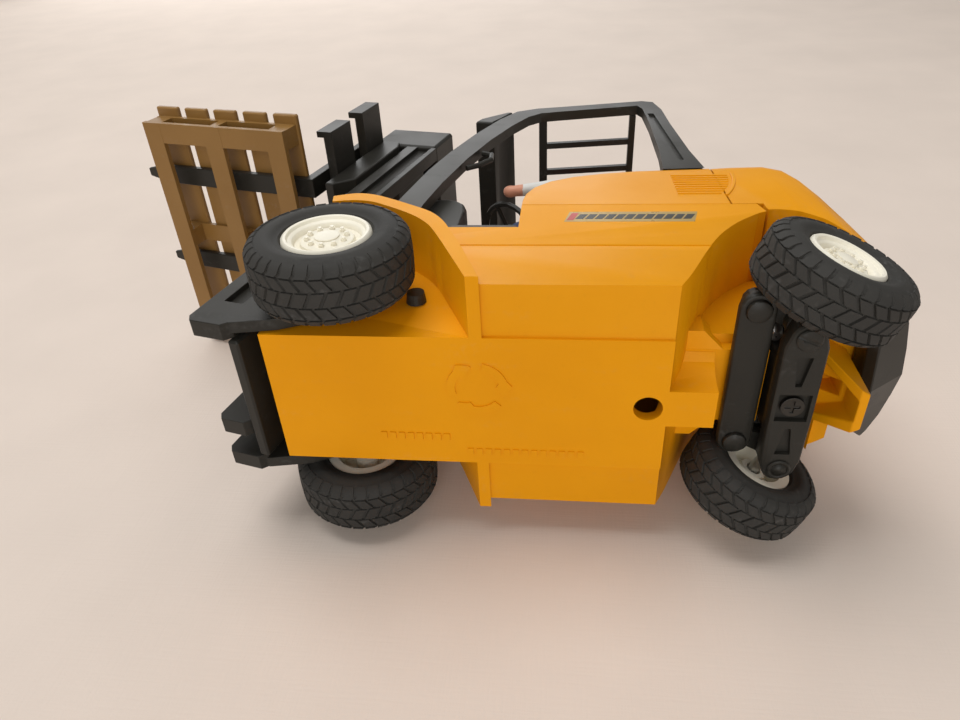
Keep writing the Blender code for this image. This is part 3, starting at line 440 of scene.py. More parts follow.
def prism(bm: bmesh.types.BMesh, outline: Sequence[tuple[float, float]], low: float, high: float,
          axis: str = "X") -> None:
    """Extrude an outline along an axis.

    Args:
        bm: where the faces go.
        outline: (y, z) points for X, (x, z) for Y, (x, y) for Z.
        low: start of the extrusion.
        high: end of the extrusion.
        axis: the letter of the axis.
    """
    order: dict[str, Callable[[float, float, float], tuple[float, float, float]]] = {
        "X": lambda a, b, t: (t, a, b), "Y": lambda a, b, t: (a, t, b), "Z": lambda a, b, t: (a, b, t)}
    skin(bm, [[order[axis](a, b, t) for a, b in outline] for t in (low, high)])


def block(bm: bmesh.types.BMesh, x: Span, y: Span, z: Span) -> None:
    """Add a box between three (low, high) pairs."""
    prism(bm, [(y[0], z[0]), (y[1], z[0]), (y[1], z[1]), (y[0], z[1])], x[0], x[1])


def disc(radius: float, centre: Span, sides: int, turn: float = 0.0) -> list[Span]:
    """Points of a regular polygon in a plane."""
    steps = [turn + 2.0 * math.pi * k / sides for k in range(sides)]
    return [(centre[0] + radius * math.cos(a), centre[1] + radius * math.sin(a)) for a in steps]


@dataclass
class Workshop:
    """Makes pieces, hangs them on bodies and hands out materials."""

    frame: dict
    materials: dict[str, bpy.types.Material] = field(default_factory=dict)
    slot_of: dict[str, str] = field(default_factory=dict)
    body_of: dict[str, str] = field(default_factory=dict)

    def __post_init__(self) -> None:
        """Build every material and index the record's slots and bodies."""
        for finish in (*FINISHES.values(), *EXTRAS.values()):
            self.materials[finish.name] = finish.material()
        record = self.frame["record"]
        self.slot_of = {part["node"]: part["material_slot"] for part in record["subparts"]}
        for body, nodes in record["behaviour"]["bodies"].items():
            self.body_of.update({node: body for node in nodes})

    def joint(self, name: str) -> dict:
        """The record's joint of that name."""
        return next(joint for joint in self.frame["record"]["behaviour"]["joints"] if joint["name"] == name)

    def box(self, node: str) -> tuple[Vector, Vector]:
        """Lowest and highest corner of a node, in millimetres."""
        low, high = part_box(node)
        return Vector(low) / MM, Vector(high) / MM

    def surface(self, node: str, start: Vector, direction: Vector) -> tuple[Vector, Vector]:
        """Where a ray meets a node.

        Args:
            node: CAD node to hit.
            start: ray start in millimetres.
            direction: ray direction.

        Returns:
            The point in millimetres and the face normal.
        """
        source = self.frame["nodes"][node]
        world = source.matrix_world
        corners = [(world @ v.co) / MM for v in source.data.vertices]
        tree = BVHTree.FromPolygons(corners, [tuple(p.vertices) for p in source.data.polygons])
        point, normal, _, _ = tree.ray_cast(start, direction.normalized())
        if point is None:
            raise ValueError(f"no surface of {node} from {tuple(start)}")
        return point, normal if normal.dot(direction) < 0.0 else -normal

    def place(self, name: str, bm: bmesh.types.BMesh, body: str, slot: str, finish: str = "",
              matrix: Optional[Matrix] = None, edge: float = 0.0, smooth: float = 35.0,
              replaces: Sequence[str] = ()) -> bpy.types.Object:
        """Turn a bmesh in millimetres into a piece of the toy.

        Args:
            name: piece name.
            bm: geometry, freed here.
            body: CAD body that it rides on.
            slot: record slot that it takes its finish from.
            finish: finish name when it isn't the slot's own.
            matrix: where to put it, in millimetres.
            edge: width of rounded edges.
            smooth: angle up to which faces shade smooth.
            replaces: CAD nodes that it stands for.

        Returns:
            The new object.
        """
        bmesh.ops.recalc_face_normals(bm, faces=bm.faces)
        if matrix is not None:
            bmesh.ops.transform(bm, matrix=matrix, verts=bm.verts)
        bmesh.ops.scale(bm, vec=(MM, MM, MM), verts=bm.verts)
        mesh = bpy.data.meshes.new(name)
        bm.to_mesh(mesh)
        bm.free()
        piece = bpy.data.objects.new(name, mesh)
        bpy.context.scene.collection.objects.link(piece)
        self.round(piece, edge, smooth)
        mesh.materials.append(self.materials[finish or slot])
        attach(piece, body)
        if replaces:
            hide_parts(*replaces)
        LOG.info("%s: %d faces on %s", name, len(mesh.polygons), body)
        return piece

    def round(self, piece: bpy.types.Object, edge: float, smooth: float) -> None:
        """Give an object rounded edges and smooth shading."""
        piece.data.shade_smooth()
        piece.data.set_sharp_from_angle(angle=math.radians(smooth))
        if edge > 0.0:
            bevel = piece.modifiers.new("edges", "BEVEL")
            bevel.width = edge * MM
            bevel.segments = 2
            bevel.limit_method = "ANGLE"
            bevel.angle_limit = math.radians(28.0)
            bevel.harden_normals = True

    def refine(self, node: str, edge: float, cutters: Sequence[bmesh.types.BMesh] = (),
               smooth: float = 32.0) -> bpy.types.Object:
        """Stand a finer copy with rounded edges and moulded recesses in for a CAD node.

        Args:
            node: the CAD node.
            edge: width of its rounded edges.
            cutters: shapes in millimetres taken out of it.
            smooth: angle up to which faces shade smooth.

        Returns:
            The new piece.
        """
        source = self.frame["nodes"][node]
        bm = bmesh.new()
        bm.from_mesh(source.data)
        bmesh.ops.transform(bm, matrix=Matrix.Scale(1.0 / MM, 4) @ source.matrix_world, verts=bm.verts)
        bmesh.ops.remove_doubles(bm, verts=bm.verts, dist=0.002)
        for cutter in cutters:
            bm = self.carve(bm, cutter)
        bmesh.ops.dissolve_limit(bm, angle_limit=math.radians(0.6), verts=bm.verts, edges=bm.edges)
        slot = self.slot_of[node]
        return self.place(f"{node}_shell", bm, self.body_of[node], slot, edge=edge, smooth=smooth,
                          replaces=[node])

    def carve(self, bm: bmesh.types.BMesh, cutter: bmesh.types.BMesh) -> bmesh.types.BMesh:
        """Take one bmesh out of another with an exact boolean.

        Args:
            bm: body, freed here.
            cutter: shape to remove, freed here.

        Returns:
            The carved bmesh.
        """
        pair = []
        for part in (bm, cutter):
            bmesh.ops.recalc_face_normals(part, faces=part.faces)
            mesh = bpy.data.meshes.new("carving")
            part.to_mesh(mesh)
            part.free()
            thing = bpy.data.objects.new("carving", mesh)
            bpy.context.scene.collection.objects.link(thing)
            pair.append(thing)
        modifier = pair[0].modifiers.new("cut", "BOOLEAN")
        modifier.operation = "DIFFERENCE"
        modifier.solver = "EXACT"
        modifier.object = pair[1]
        graph = bpy.context.evaluated_depsgraph_get()
        mesh = bpy.data.meshes.new_from_object(pair[0].evaluated_get(graph))
        for thing in pair:
            bpy.data.objects.remove(thing, do_unlink=True)
        made = bmesh.new()
        made.from_mesh(mesh)
        bpy.data.meshes.remove(mesh)
        return made

    def paint_frame(self) -> None:
        """Give every CAD node the finish of its slot."""
        for node, thing in self.frame["nodes"].items():
            thing.data.materials.clear()
            thing.data.materials.append(self.materials[self.slot_of[node]])


# ---- sub-assemblies -----------------------------------------------------------------------------
@dataclass
class Wheel:
    """A treaded tyre on a dished rim with a ring of nuts."""

    shop: Workshop
    end: str
    side: str
    radius: float
    width: float
    rim_radius: float
    lugs: int
    nuts: int

    @property
    def body(self) -> str:
        """Name of the body that the wheel is."""
        return f"{self.end}_wheel_{self.side}"

    def seat(self) -> Matrix:
        """Where the wheel stands, its outer face along local +X.

        Returns:
            The matrix from wheel space to the world, in millimetres.
        """
        joint = self.shop.joint(f"{self.end}_spin_{self.side}")
        axis = Vector(joint["axis"]).normalized()
        if self.side == "right":
            axis = -axis
        up = Vector((0.0, 0.0, 1.0))
        across = up.cross(axis)
        turn = Matrix((axis, across, up)).transposed().to_4x4()
        return Matrix.Translation(Vector(joint["pos_m"]) / MM) @ turn

    def tyre(self) -> bmesh.types.BMesh:
        """Carcass with beads, five rows of slanted tread blocks and grooved shoulders.

        Returns:
            The tyre in wheel space.
        """
        half, top = self.width / 2.0, self.radius
        bead = self.rim_radius + 0.8
        wall = [(bead, -half + 1.3), (bead + 0.35, -half + 0.7), (bead + 1.3, -half + 0.55),
                (bead + 1.7, -half + 0.2), (top - 4.2, -half + 0.05),
                (top - 3.6, -half + 0.3), (top - 2.4, -half + 0.45),
                (top - 1.5, -half + 1.0), (top - 0.95, -half + 2.0),
                (top - 0.75, -half + 3.4), (top - 0.7, 0.0)]
        profile = wall + [(r, -h) for r, h in reversed(wall[:-1])]
        bm = bmesh.new()
        turned(bm, profile, 128)
        pitch = 2.0 * math.pi / self.lugs
        for index in range(self.lugs):
            self.strip(bm, self.centre_block(index * pitch, pitch), pitch)
            for side in (1, -1):
                self.strip(bm, self.inner_block((index + 0.5) * pitch, side, pitch), pitch)
                self.strip(bm, self.shoulder_block((index + 0.22 * side) * pitch, side, pitch), pitch)
        return bm

    def centre_block(self, start: float, pitch: float) -> list[tuple[float, float, float]]:
        """Path of a slanted block on the middle of the tread.

        Args:
            start: angle of its middle.
            pitch: angle from one block to the next.

        Returns:
            Points of along, radius and angle.
        """
        reach = 0.105 * self.width
        return [(share * reach, self.radius, start + 0.24 * share * pitch) for share in (-1.0, 0.0, 1.0)]

    def inner_block(self, start: float, side: int, pitch: float) -> list[tuple[float, float, float]]:
        """Path of a block beside the middle, slanted the other way.

        Args:
            start: angle of its middle.
            side: 1 or -1, which half of the tread.
            pitch: angle from one block to the next.

        Returns:
            Points of along, radius and angle.
        """
        near, far = 0.135 * self.width, 0.305 * self.width
        path = [(near, -0.02, 0.26), ((near + far) / 2.0, -0.06, 0.0), (far, -0.14, -0.26)]
        return [(side * x, self.radius + drop, start + side * turn * pitch) for x, drop, turn in path]

    def shoulder_block(self, start: float, side: int, pitch: float) -> list[tuple[float, float, float]]:
        """Path of a block that wraps over the shoulder.

        Args:
            start: angle of its inner end.
            side: 1 or -1, which half of the tread.
            pitch: angle from one block to the next.

        Returns:
            Points of along, radius and angle.
        """
        half, top = self.width / 2.0, self.radius
        path = [(0.335 * self.width, top - 0.18, 0.0), (half - 1.8, top - 0.5, 0.16),
                (half - 1.1, top - 0.95, 0.2), (half - 0.55, top - 1.6, 0.2), (half - 0.22, top - 2.4, 0.2)]
        return [(side * x, r, start + side * turn * pitch) for x, r, turn in path]

    def strip(self, bm: bmesh.types.BMesh, path: Sequence[tuple[float, float, float]], pitch: float) -> None:
        """Skin one tread block along a path of (along, radius, angle) points.

        Args:
            bm: tyre bmesh.
            path: middle line of the block's outer face.
            pitch: angle from one block to the next.
        """
        rings = []
        spread = 0.5 * pitch - 0.27 / self.radius
        for x, top, middle in path:
            inward = max(0.0, abs(x) / (self.width / 2.0) - 0.85) * 6.0
            foot, deep = top - 1.3 + inward * 0.8, x - math.copysign(inward, x)
            corners = [(deep, foot, -1.0), (x, top, -0.90), (x, top, 0.90), (deep, foot, 1.0)]
            rings.append([(h, r * math.cos(middle + spread * k), r * math.sin(middle + spread * k))
                          for h, r, k in corners])
        skin(bm, rings)

    def rim(self) -> bmesh.types.BMesh:
        """Dished rim with a rolled lip, a raised hub disc and a ring of round nuts.

        Returns:
            The rim in wheel space.
        """
        half, big = self.width / 2.0, self.rim_radius
        floor = half - 6.4
        profile = [(1.7, -half + 3.2), (2.9, -half + 3.2), (2.9, floor), (big - 1.9, floor),
                   (big - 1.5, -half + 1.4), (big + 0.6, -half + 1.2), (big + 0.75, -half + 2.0),
                   (big + 0.75, half - 1.9), (big + 0.6, half - 0.9), (big + 0.1, half - 0.45),
                   (big - 0.45, half - 0.6), (big - 0.7, half - 1.2), (big - 1.3, half - 1.45),
                   (big - 1.5, half - 1.6), (big - 1.8, half - 2.6), (big * 0.70, half - 2.85),
                   (big * 0.66, half - 2.7), (big * 0.63, half - 2.0), (big * 0.57, half - 1.75),
                   (big * 0.37, half - 1.7), (big * 0.34, half - 1.5), (1.7, half - 1.45)]
        bm = bmesh.new()
        turned(bm, profile, 80)
        cap = [(0.02, half - 1.44), (0.3 * big, half - 1.44), (0.3 * big, half - 1.2),
               (0.25 * big, half - 1.05), (0.02, half - 1.0)]
        turned(bm, cap, 40)
        for index in range(self.nuts):
            a = 2.0 * math.pi * (index + 0.5) / self.nuts
            for scale, low, high in ((1.0, half - 2.4, half - 1.25), (0.7, half - 1.6, half - 0.95)):
                centre = (0.47 * big * math.cos(a), 0.47 * big * math.sin(a))
                prism(bm, disc(0.07 * big * scale, centre, 14), low, high)
        return bm

    def build(self) -> None:
        """Make the tyre and the rim."""
        matrix = self.seat()
        names = (f"{self.end}_tyre_{self.side}", f"{self.end}_rim_{self.side}")
        self.shop.place(f"{names[0]}_treaded", self.tyre(), self.body, "tyre_rubber", matrix=matrix,
                        smooth=40.0, replaces=[names[0]])
        self.shop.place(f"{names[1]}_dished", self.rim(), self.body, "rim_white", matrix=matrix, smooth=40.0,
                        replaces=[names[1]])


@dataclass
class Bodywork:
    """Amber chassis, hood, counterweight and hitch with their trim."""

    shop: Workshop

    def build(self) -> None:
        """Refine the shells and add trim on both sides."""
        self.shop.refine("chassis_shell", 0.5, [self.side_line(side) for side in (1, -1)])
        self.shop.refine("engine_hood", 0.5)
        self.shop.refine("counterweight", 0.5)
        self.shop.refine("tow_hitch", 0.35)
        self.shop.refine("rear_bumper", 0.35)
        self.plate_marks()
        for name, side in (("left", 1), ("right", -1)):
            self.sticker(name, side)
            self.louvre(name, side)
            self.tail_lamp(name, side)

    def side_line(self, side: int) -> bmesh.types.BMesh:
        """A shallow moulded line half way up the body side.

        Args:
            side: 1 for the left, -1 for the right.

        Returns:
            The cutter that leaves the line.
        """
        low, high = self.shop.box("chassis_shell")
        wide = self.shop.box("engine_hood")[1].x
        bm = bmesh.new()
        pair = sorted((side * (wide - 0.12), side * (wide + 1.0)))
        middle = low.z + 17.4
        block(bm, (pair[0], pair[1]), (high.y - 66.0, high.y - 12.9), (middle - 0.35, middle + 0.35))
        return bm

    def plate_marks(self) -> None:
        """Raised moulding marks under the floor plate: a ring in three parts and two rules."""
        low, high = self.shop.box("chassis_shell")
        middle = Vector((4.2, high.y - 60.7))
        bottom = low.z
        bm = bmesh.new()
        for part in range(3):
            rings = []
            for step in range(9):
                a = math.radians(120.0 * part + 12.0 * step + 12.0)
                centre = Vector((math.cos(a), math.sin(a)))
                width = 0.9 if step < 6 else 1.7 - 0.75 * (step - 6)
                inner, outer = middle + centre * (5.6 - width), middle + centre * (5.6 + width)
                rings.append([(inner.x, inner.y, bottom + 0.2), (outer.x, outer.y, bottom + 0.2),
                              (outer.x, outer.y, bottom - 0.3), (inner.x, inner.y, bottom - 0.3)])
            skin(bm, rings)
        for across, first, length in ((-9.2, -22.0, 16.0), (-13.2, -3.0, 26.0)):
            for tick in range(int(length / 2.0)):
                start = middle.y + first + 2.0 * tick
                block(bm, (across - 0.9, across + 0.9), (start, start + 1.3), (bottom - 0.28, bottom + 0.2))
        self.shop.place("plate_marks", bm, "chassis", "amber_abs")

    def sticker(self, name: str, side: int) -> None:
        """Thin side strip with a red block and a row of plain dark dashes.

        Args:
            name: left or right, the end of the pieces' names.
            side: 1 for the left, -1 for the right.
        """
        hood = self.shop.box("engine_hood")
        wide, z = hood[1].x, hood[0].z - 7.0
        start, length, lean = hood[0].y + 10.4, 27.8, 0.6
        strips = [("side_strip", 0.01, 0.06, start, start + length, 2.6, "silver_film"),
                  ("side_block", 0.03, 0.09, start + 0.5, start + 2.0, 1.9, "hat_red")]
        dash = (length - 2.6) / 12.0
        for index in range(12):
            low = start + 2.4 + index * dash
            strips.append((f"side_dash_{index + 1}", 0.03, 0.09, low, low + 0.8 * dash, 1.25, "sticker"))
        for title, inner, outer, low, high, tall, finish in strips:
            bm = bmesh.new()
            pair = sorted((side * (wide + inner), side * (wide + outer)))
            outline = [(low - lean, z - tall), (high - lean, z - tall),
                       (high + lean, z + tall), (low + lean, z + tall)]
            prism(bm, outline, pair[0], pair[1])
            self.shop.place(f"{title}_{name}", bm, "chassis", "black_abs", finish)

    def louvre(self, name: str, side: int) -> None:
        """Moulded ribs of an air grille across the seam of hood and counterweight.

        Args:
            name: left or right, the end of the pieces' names.
            side: 1 for the left, -1 for the right.
        """
        low, high = self.shop.box("engine_hood")
        centre = Vector((side * 60.0, high.y - 3.8, low.z + 15.2))
        point, normal = self.shop.surface("engine_hood", centre, Vector((-side, 0.0, 0.0)))
        across = Vector((0.0, 1.0, 0.0))
        up = normal.cross(across).normalized() * side
        matrix = Matrix.Translation(point) @ Matrix((normal, across, up)).transposed().to_4x4()
        ribs = bmesh.new()
        reach, tall, count = 6.9, 8.4, 9
        for row in range(count):
            fall = (row + 0.5) / count
            z = tall - 2.0 * tall * fall
            block(ribs, (-0.6, 0.26), (-reach, reach * (1.0 - 0.62 * fall ** 2)), (z - 0.42, z + 0.42))
        rim = []
        for step in range(13):
            fall = step / 12.0
            z = tall + 0.6 - (2.0 * tall + 1.2) * fall
            y = reach * (1.0 - 0.62 * fall ** 2) + 0.9
            rim.append([(-0.6, y, z), (-0.6, y + 0.8, z - 0.1), (0.34, y + 0.8, z - 0.1), (0.34, y, z)])
        skin(ribs, rim)
        self.shop.place(f"side_louvre_{name}", ribs, "chassis", "amber_abs", matrix=matrix, edge=0.16)

    def tail_lamp(self, name: str, side: int) -> None:
        """Red lamp in a black bezel at the rear corner.

        Args:
            name: left or right, the end of the pieces' names.
            side: 1 for the left, -1 for the right.
        """
        low, high = self.shop.box("counterweight")
        start = Vector((side * 17.0, high.y + 20.0, low.z + 34.0))
        point, normal = self.shop.surface("counterweight", start, Vector((0.0, -1.0, 0.0)))
        across = Vector((1.0, 0.0, 0.0))
        up = across.cross(normal).normalized()
        across = normal.cross(up).normalized()
        matrix = Matrix.Translation(point) @ Matrix((across, up, normal)).transposed().to_4x4()
        bezel = bmesh.new()
        block(bezel, (-3.4, 3.4), (-4.6, 4.6), (-0.8, 0.45))
        self.shop.place(f"tail_bezel_{name}", bezel, "chassis", "black_abs", matrix=matrix, edge=0.4)
        lens = bmesh.new()
        block(lens, (-2.6, 2.6), (-3.8, 3.8), (0.0, 0.95))
        self.shop.place(f"tail_lamp_{name}", lens, "chassis", "hat_red", "red_lens", matrix=matrix, edge=0.4)


@dataclass
class Guard:
    """Overhead guard with grooved pillars."""

    shop: Workshop

    def build(self) -> None:
        """Refine the frames, roof and visor."""
        for name, side in (("left", 1), ("right", -1)):
            node = f"guard_frame_{name}"
            self.shop.refine(node, 0.75, [self.pillar_groove(node, side)])
        self.shop.refine("guard_roof", 0.25)
        self.shop.refine("guard_visor", 0.5)

    def pillar_groove(self, node: str, side: int) -> bmesh.types.BMesh:
        """A shallow groove down the outside of the rear pillar."""
        low, high = self.shop.box(node)
        rear = high.y
        bm = bmesh.new()
        face = side * max(abs(low.x), abs(high.x))
        pair = sorted((face - side * 0.7, face + side * 1.0))
        top, foot = high.z - 14.0, high.z - 56.0
        outline = [(rear - 10.6, top), (rear - 8.8, top), (rear - 4.4, foot), (rear - 7.4, foot)]
        prism(bm, outline, pair[0], pair[1])
        return bm


@dataclass
class Lift:
    """Mast, carriage, forks and the pallet that they carry."""

    shop: Workshop

    def build(self) -> None:
        """Round every moulded edge of the lifting gear."""
        for node, edge in (("mast_rail_left", 0.3), ("mast_rail_right", 0.3), ("latch_rail", 0.2),
                           ("mast_foot", 0.25),
                           ("mast_head", 0.45), ("carriage_bar_lower", 0.2), ("carriage_bar_upper", 0.2),
                           ("carriage_cheek_left", 0.2), ("carriage_cheek_right", 0.2), ("fork_left", 0.3),
                           ("fork_right", 0.3), ("pallet", 0.18)):
            self.shop.refine(node, edge)


@dataclass
class SteeringGear:
    """Rear axle beam, knuckles, tie rod and their pins."""

    shop: Workshop

    def build(self) -> None:
        """Refine the gear, mark the kingpin heads and add the steel bushes."""
        for node, edge in (("rear_axle_beam", 0.25), ("knuckle_left", 0.2), ("knuckle_right", 0.2),
                           ("tie_rod", 0.3),
                           ("tie_rod_pin_left", 0.0), ("tie_rod_pin_right", 0.0)):
            self.shop.refine(node, edge, smooth=50.0)
        self.shop.refine("beam_screw", 0.12, smooth=50.0)
        self.shop.refine("kingpin_left", 0.0, [self.slot()], smooth=50.0)
        self.shop.refine("kingpin_right", 0.0, [self.ring()], smooth=50.0)
        for name, side in (("left", 1), ("right", -1)):
            self.bush(name, side)

    def slot(self) -> bmesh.types.BMesh:
        """Screwdriver slot across the left kingpin's head."""
        low, high = self.shop.box("kingpin_left")
        middle = (low + high) / 2.0
        bm = bmesh.new()
        block(bm, (middle.x - 4.0, middle.x + 4.0), (middle.y - 0.3, middle.y + 0.3),
              (low.z - 1.0, low.z + 0.35))
        turn = Matrix.Translation(middle) @ Matrix.Rotation(math.radians(-64.0), 4, "Z")
        bmesh.ops.transform(bm, matrix=turn @ Matrix.Translation(-middle), verts=bm.verts)
        return bm

    def ring(self) -> bmesh.types.BMesh:
        """Round groove in the right kingpin's head."""
        low, high = self.shop.box("kingpin_right")
        middle = (low + high) / 2.0
        bm = bmesh.new()
        turned(bm, [(1.45, -1.0), (1.75, -1.0), (1.75, 0.3), (1.45, 0.3)], 32)
        upright = Matrix.Rotation(math.radians(-90.0), 4, "Y")
        seat = Matrix.Translation((middle.x, middle.y, low.z)) @ upright
        bmesh.ops.transform(bm, matrix=seat, verts=bm.verts)
        return bm

    def bush(self, name: str, side: int) -> None:
        """Bright conical bolt end under the beam's upper arm, ahead of the knuckle.

        Args:
            name: left or right, the end of the pieces' names.
            side: 1 for the left, -1 for the right.
        """
        low, _ = self.shop.box("rear_axle_beam")
        bm = bmesh.new()
        turned(bm, [(0.2, -1.9), (1.0, -1.9), (1.5, -1.2), (1.9, 0.6), (1.9, 0.9), (0.2, 0.9)], 28)
        upright = Matrix.Rotation(math.radians(-90.0), 4, "Y")
        matrix = Matrix.Translation((side * 11.0, low.y + 7.0, low.z + 11.6)) @ upright
        self.shop.place(f"beam_bolt_{name}", bm, "chassis", "steel", matrix=matrix)


@dataclass
class Cab:
    """Dashboard, seat and controls."""

    shop: Workshop

    def build(self) -> None:
        """Refine the cab parts and add a dial, pedals and seat seams."""
        self.shop.refine("dashboard", 0.5)
        self.shop.refine("seat", 0.8, [self.seam(z) for z in (6.0, 12.0, 18.0)])
        self.shop.refine("cab_floor", 0.2)
        self.dial()
        self.pedals()

    def seam(self, below_top: float) -> bmesh.types.BMesh:
        """A groove across the front of the seat back."""
        low, high = self.shop.box("seat")
        lean = 5.0 / 27.0
        z = high.z - 1.0 - below_top
        y = high.y - 5.0 - below_top * lean
        bm = bmesh.new()
        block(bm, (low.x - 1.0, high.x + 1.0), (y - 4.0, y + 0.35), (z - 0.35, z + 0.35))
        return bm

    def dial(self) -> None:
        """Plain round gauge on the dashboard's top."""
        _, high = self.shop.box("dashboard")
        start = Vector((7.0, high.y - 3.6, high.z + 20.0))
        point, normal = self.shop.surface("dashboard", start, Vector((0.0, 0.0, -1.0)))
        turn = normal.to_track_quat("X", "Z").to_matrix().to_4x4()
        matrix = Matrix.Translation(point) @ turn
        ring = bmesh.new()
        turned(ring, [(2.0, -0.4), (2.8, -0.4), (2.7, 0.6), (2.2, 0.8), (2.0, 0.3)], 36)
        self.shop.place("gauge_ring", ring, "chassis", "black_abs", matrix=matrix)
        glass = bmesh.new()
        turned(glass, [(0.05, -0.3), (2.0, -0.3), (2.0, 0.25), (0.05, 0.35)], 36)
        self.shop.place("gauge_face", glass, "chassis", "rim_white", "clear_lens", matrix=matrix)

    def pedals(self) -> None:
        """Two pedals hung below the dashboard."""
        low, high = self.shop.box("cab_floor")
        for index, x in enumerate((-3.4, 2.2)):
            bm = bmesh.new()
            prism(bm, [(low.y + 0.6, high.z + 4.6), (low.y + 1.4, high.z + 5.2), (low.y + 2.6, high.z + 1.8),
                       (low.y + 1.8, high.z + 1.4)], x - 1.4, x + 1.4)
            block(bm, (x - 0.4, x + 0.4), (low.y + 0.1, low.y + 1.2), (high.z + 3.6, high.z + 9.0))
            self.shop.place(f"pedal_{index + 1}", bm, "chassis", "black_abs", edge=0.15)


@dataclass
class Driver:
    """A plain doll in shirt, trousers, boots and hard hat."""

    shop: Workshop
    grain: float = 0.55

    def soften(self, node: str, regions: Sequence[tuple[str, Callable[[Vector], bool]]],
               passes: int = 8) -> bpy.types.Object:
        """Stand a smoothly modelled copy in for a doll part and colour its regions.

        Args:
            node: CAD node.
            regions: finish name and test of a point in millimetres, first match wins.
            passes: smoothing passes.

        Returns:
            The new piece.
        """
        source = self.shop.frame["nodes"][node]
        bm = bmesh.new()
        bm.from_mesh(source.data)
        bmesh.ops.transform(bm, matrix=Matrix.Scale(1.0 / MM, 4) @ source.matrix_world, verts=bm.verts)
        bmesh.ops.remove_doubles(bm, verts=bm.verts, dist=0.002)
        mesh = bpy.data.meshes.new("doll")
        bm.to_mesh(mesh)
        bm.free()
        thing = bpy.data.objects.new("doll", mesh)
        bpy.context.scene.collection.objects.link(thing)
        remesh = thing.modifiers.new("clay", "REMESH")
        remesh.mode = "VOXEL"
        remesh.voxel_size = self.grain
        smoothing = thing.modifiers.new("smooth", "SMOOTH")
        smoothing.iterations = passes
        smoothing.factor = 0.5
        graph = bpy.context.evaluated_depsgraph_get()
        clay = bpy.data.meshes.new_from_object(thing.evaluated_get(graph))
        bpy.data.objects.remove(thing, do_unlink=True)
        made = bmesh.new()
        made.from_mesh(clay)
        slot = self.shop.slot_of[node]
        piece = self.shop.place(f"{node}_modelled", made, self.shop.body_of[node], slot, smooth=80.0,
                                replaces=[node])
        for finish, _ in regions:
            piece.data.materials.append(self.shop.materials[finish])
        for polygon in piece.data.polygons:
            centre = polygon.center / MM
            for index, (_, test) in enumerate(regions):
                if test(centre):
                    polygon.material_index = index + 1
                    break
        return piece

    def build(self) -> None:
        """Model the body, arms, head and face."""
        floor = self.shop.box("cab_floor")[1].z
        seat = self.shop.box("seat")[1]
        belt = self.shop.box("driver_body")[1].z - 19.5
        clothes = [("boots", lambda p: p.z < floor + 6.4), ("trousers", lambda p: p.z < belt)]
        self.soften("driver_body", clothes)
        for side in ("left", "right"):
            low = self.shop.box(f"driver_arm_{side}")[0]
            self.soften(f"driver_arm_{side}", [("doll_skin", lambda p, edge=low.y + 6.2: p.y < edge)])
        self.soften("driver_head", [], passes=5)
        self.face()
        LOG.info("driver seated below %.1f", seat.z)

    def face(self) -> None:
        """Two painted eyes."""
        low, high = self.shop.box("driver_head")
        middle = (low.y + high.y) / 2.0
        z = low.z + 9.3
        for name, x in (("left", 2.1), ("right", -2.1)):
            start = Vector((x, middle - 30.0, z))
            point, normal = self.shop.surface("driver_head", start, Vector((0.0, 1.0, 0.0)))
            bm = bmesh.new()
            bmesh.ops.create_uvsphere(bm, u_segments=16, v_segments=10, radius=0.62)
            matrix = Matrix.Translation(point - normal * 0.2) @ Matrix.Diagonal((1.0, 0.6, 1.25, 1.0))
            self.shop.place(f"eye_{name}", bm, "driver_head", "doll_skin", "eye_ink", matrix=matrix,
                            smooth=80.0)


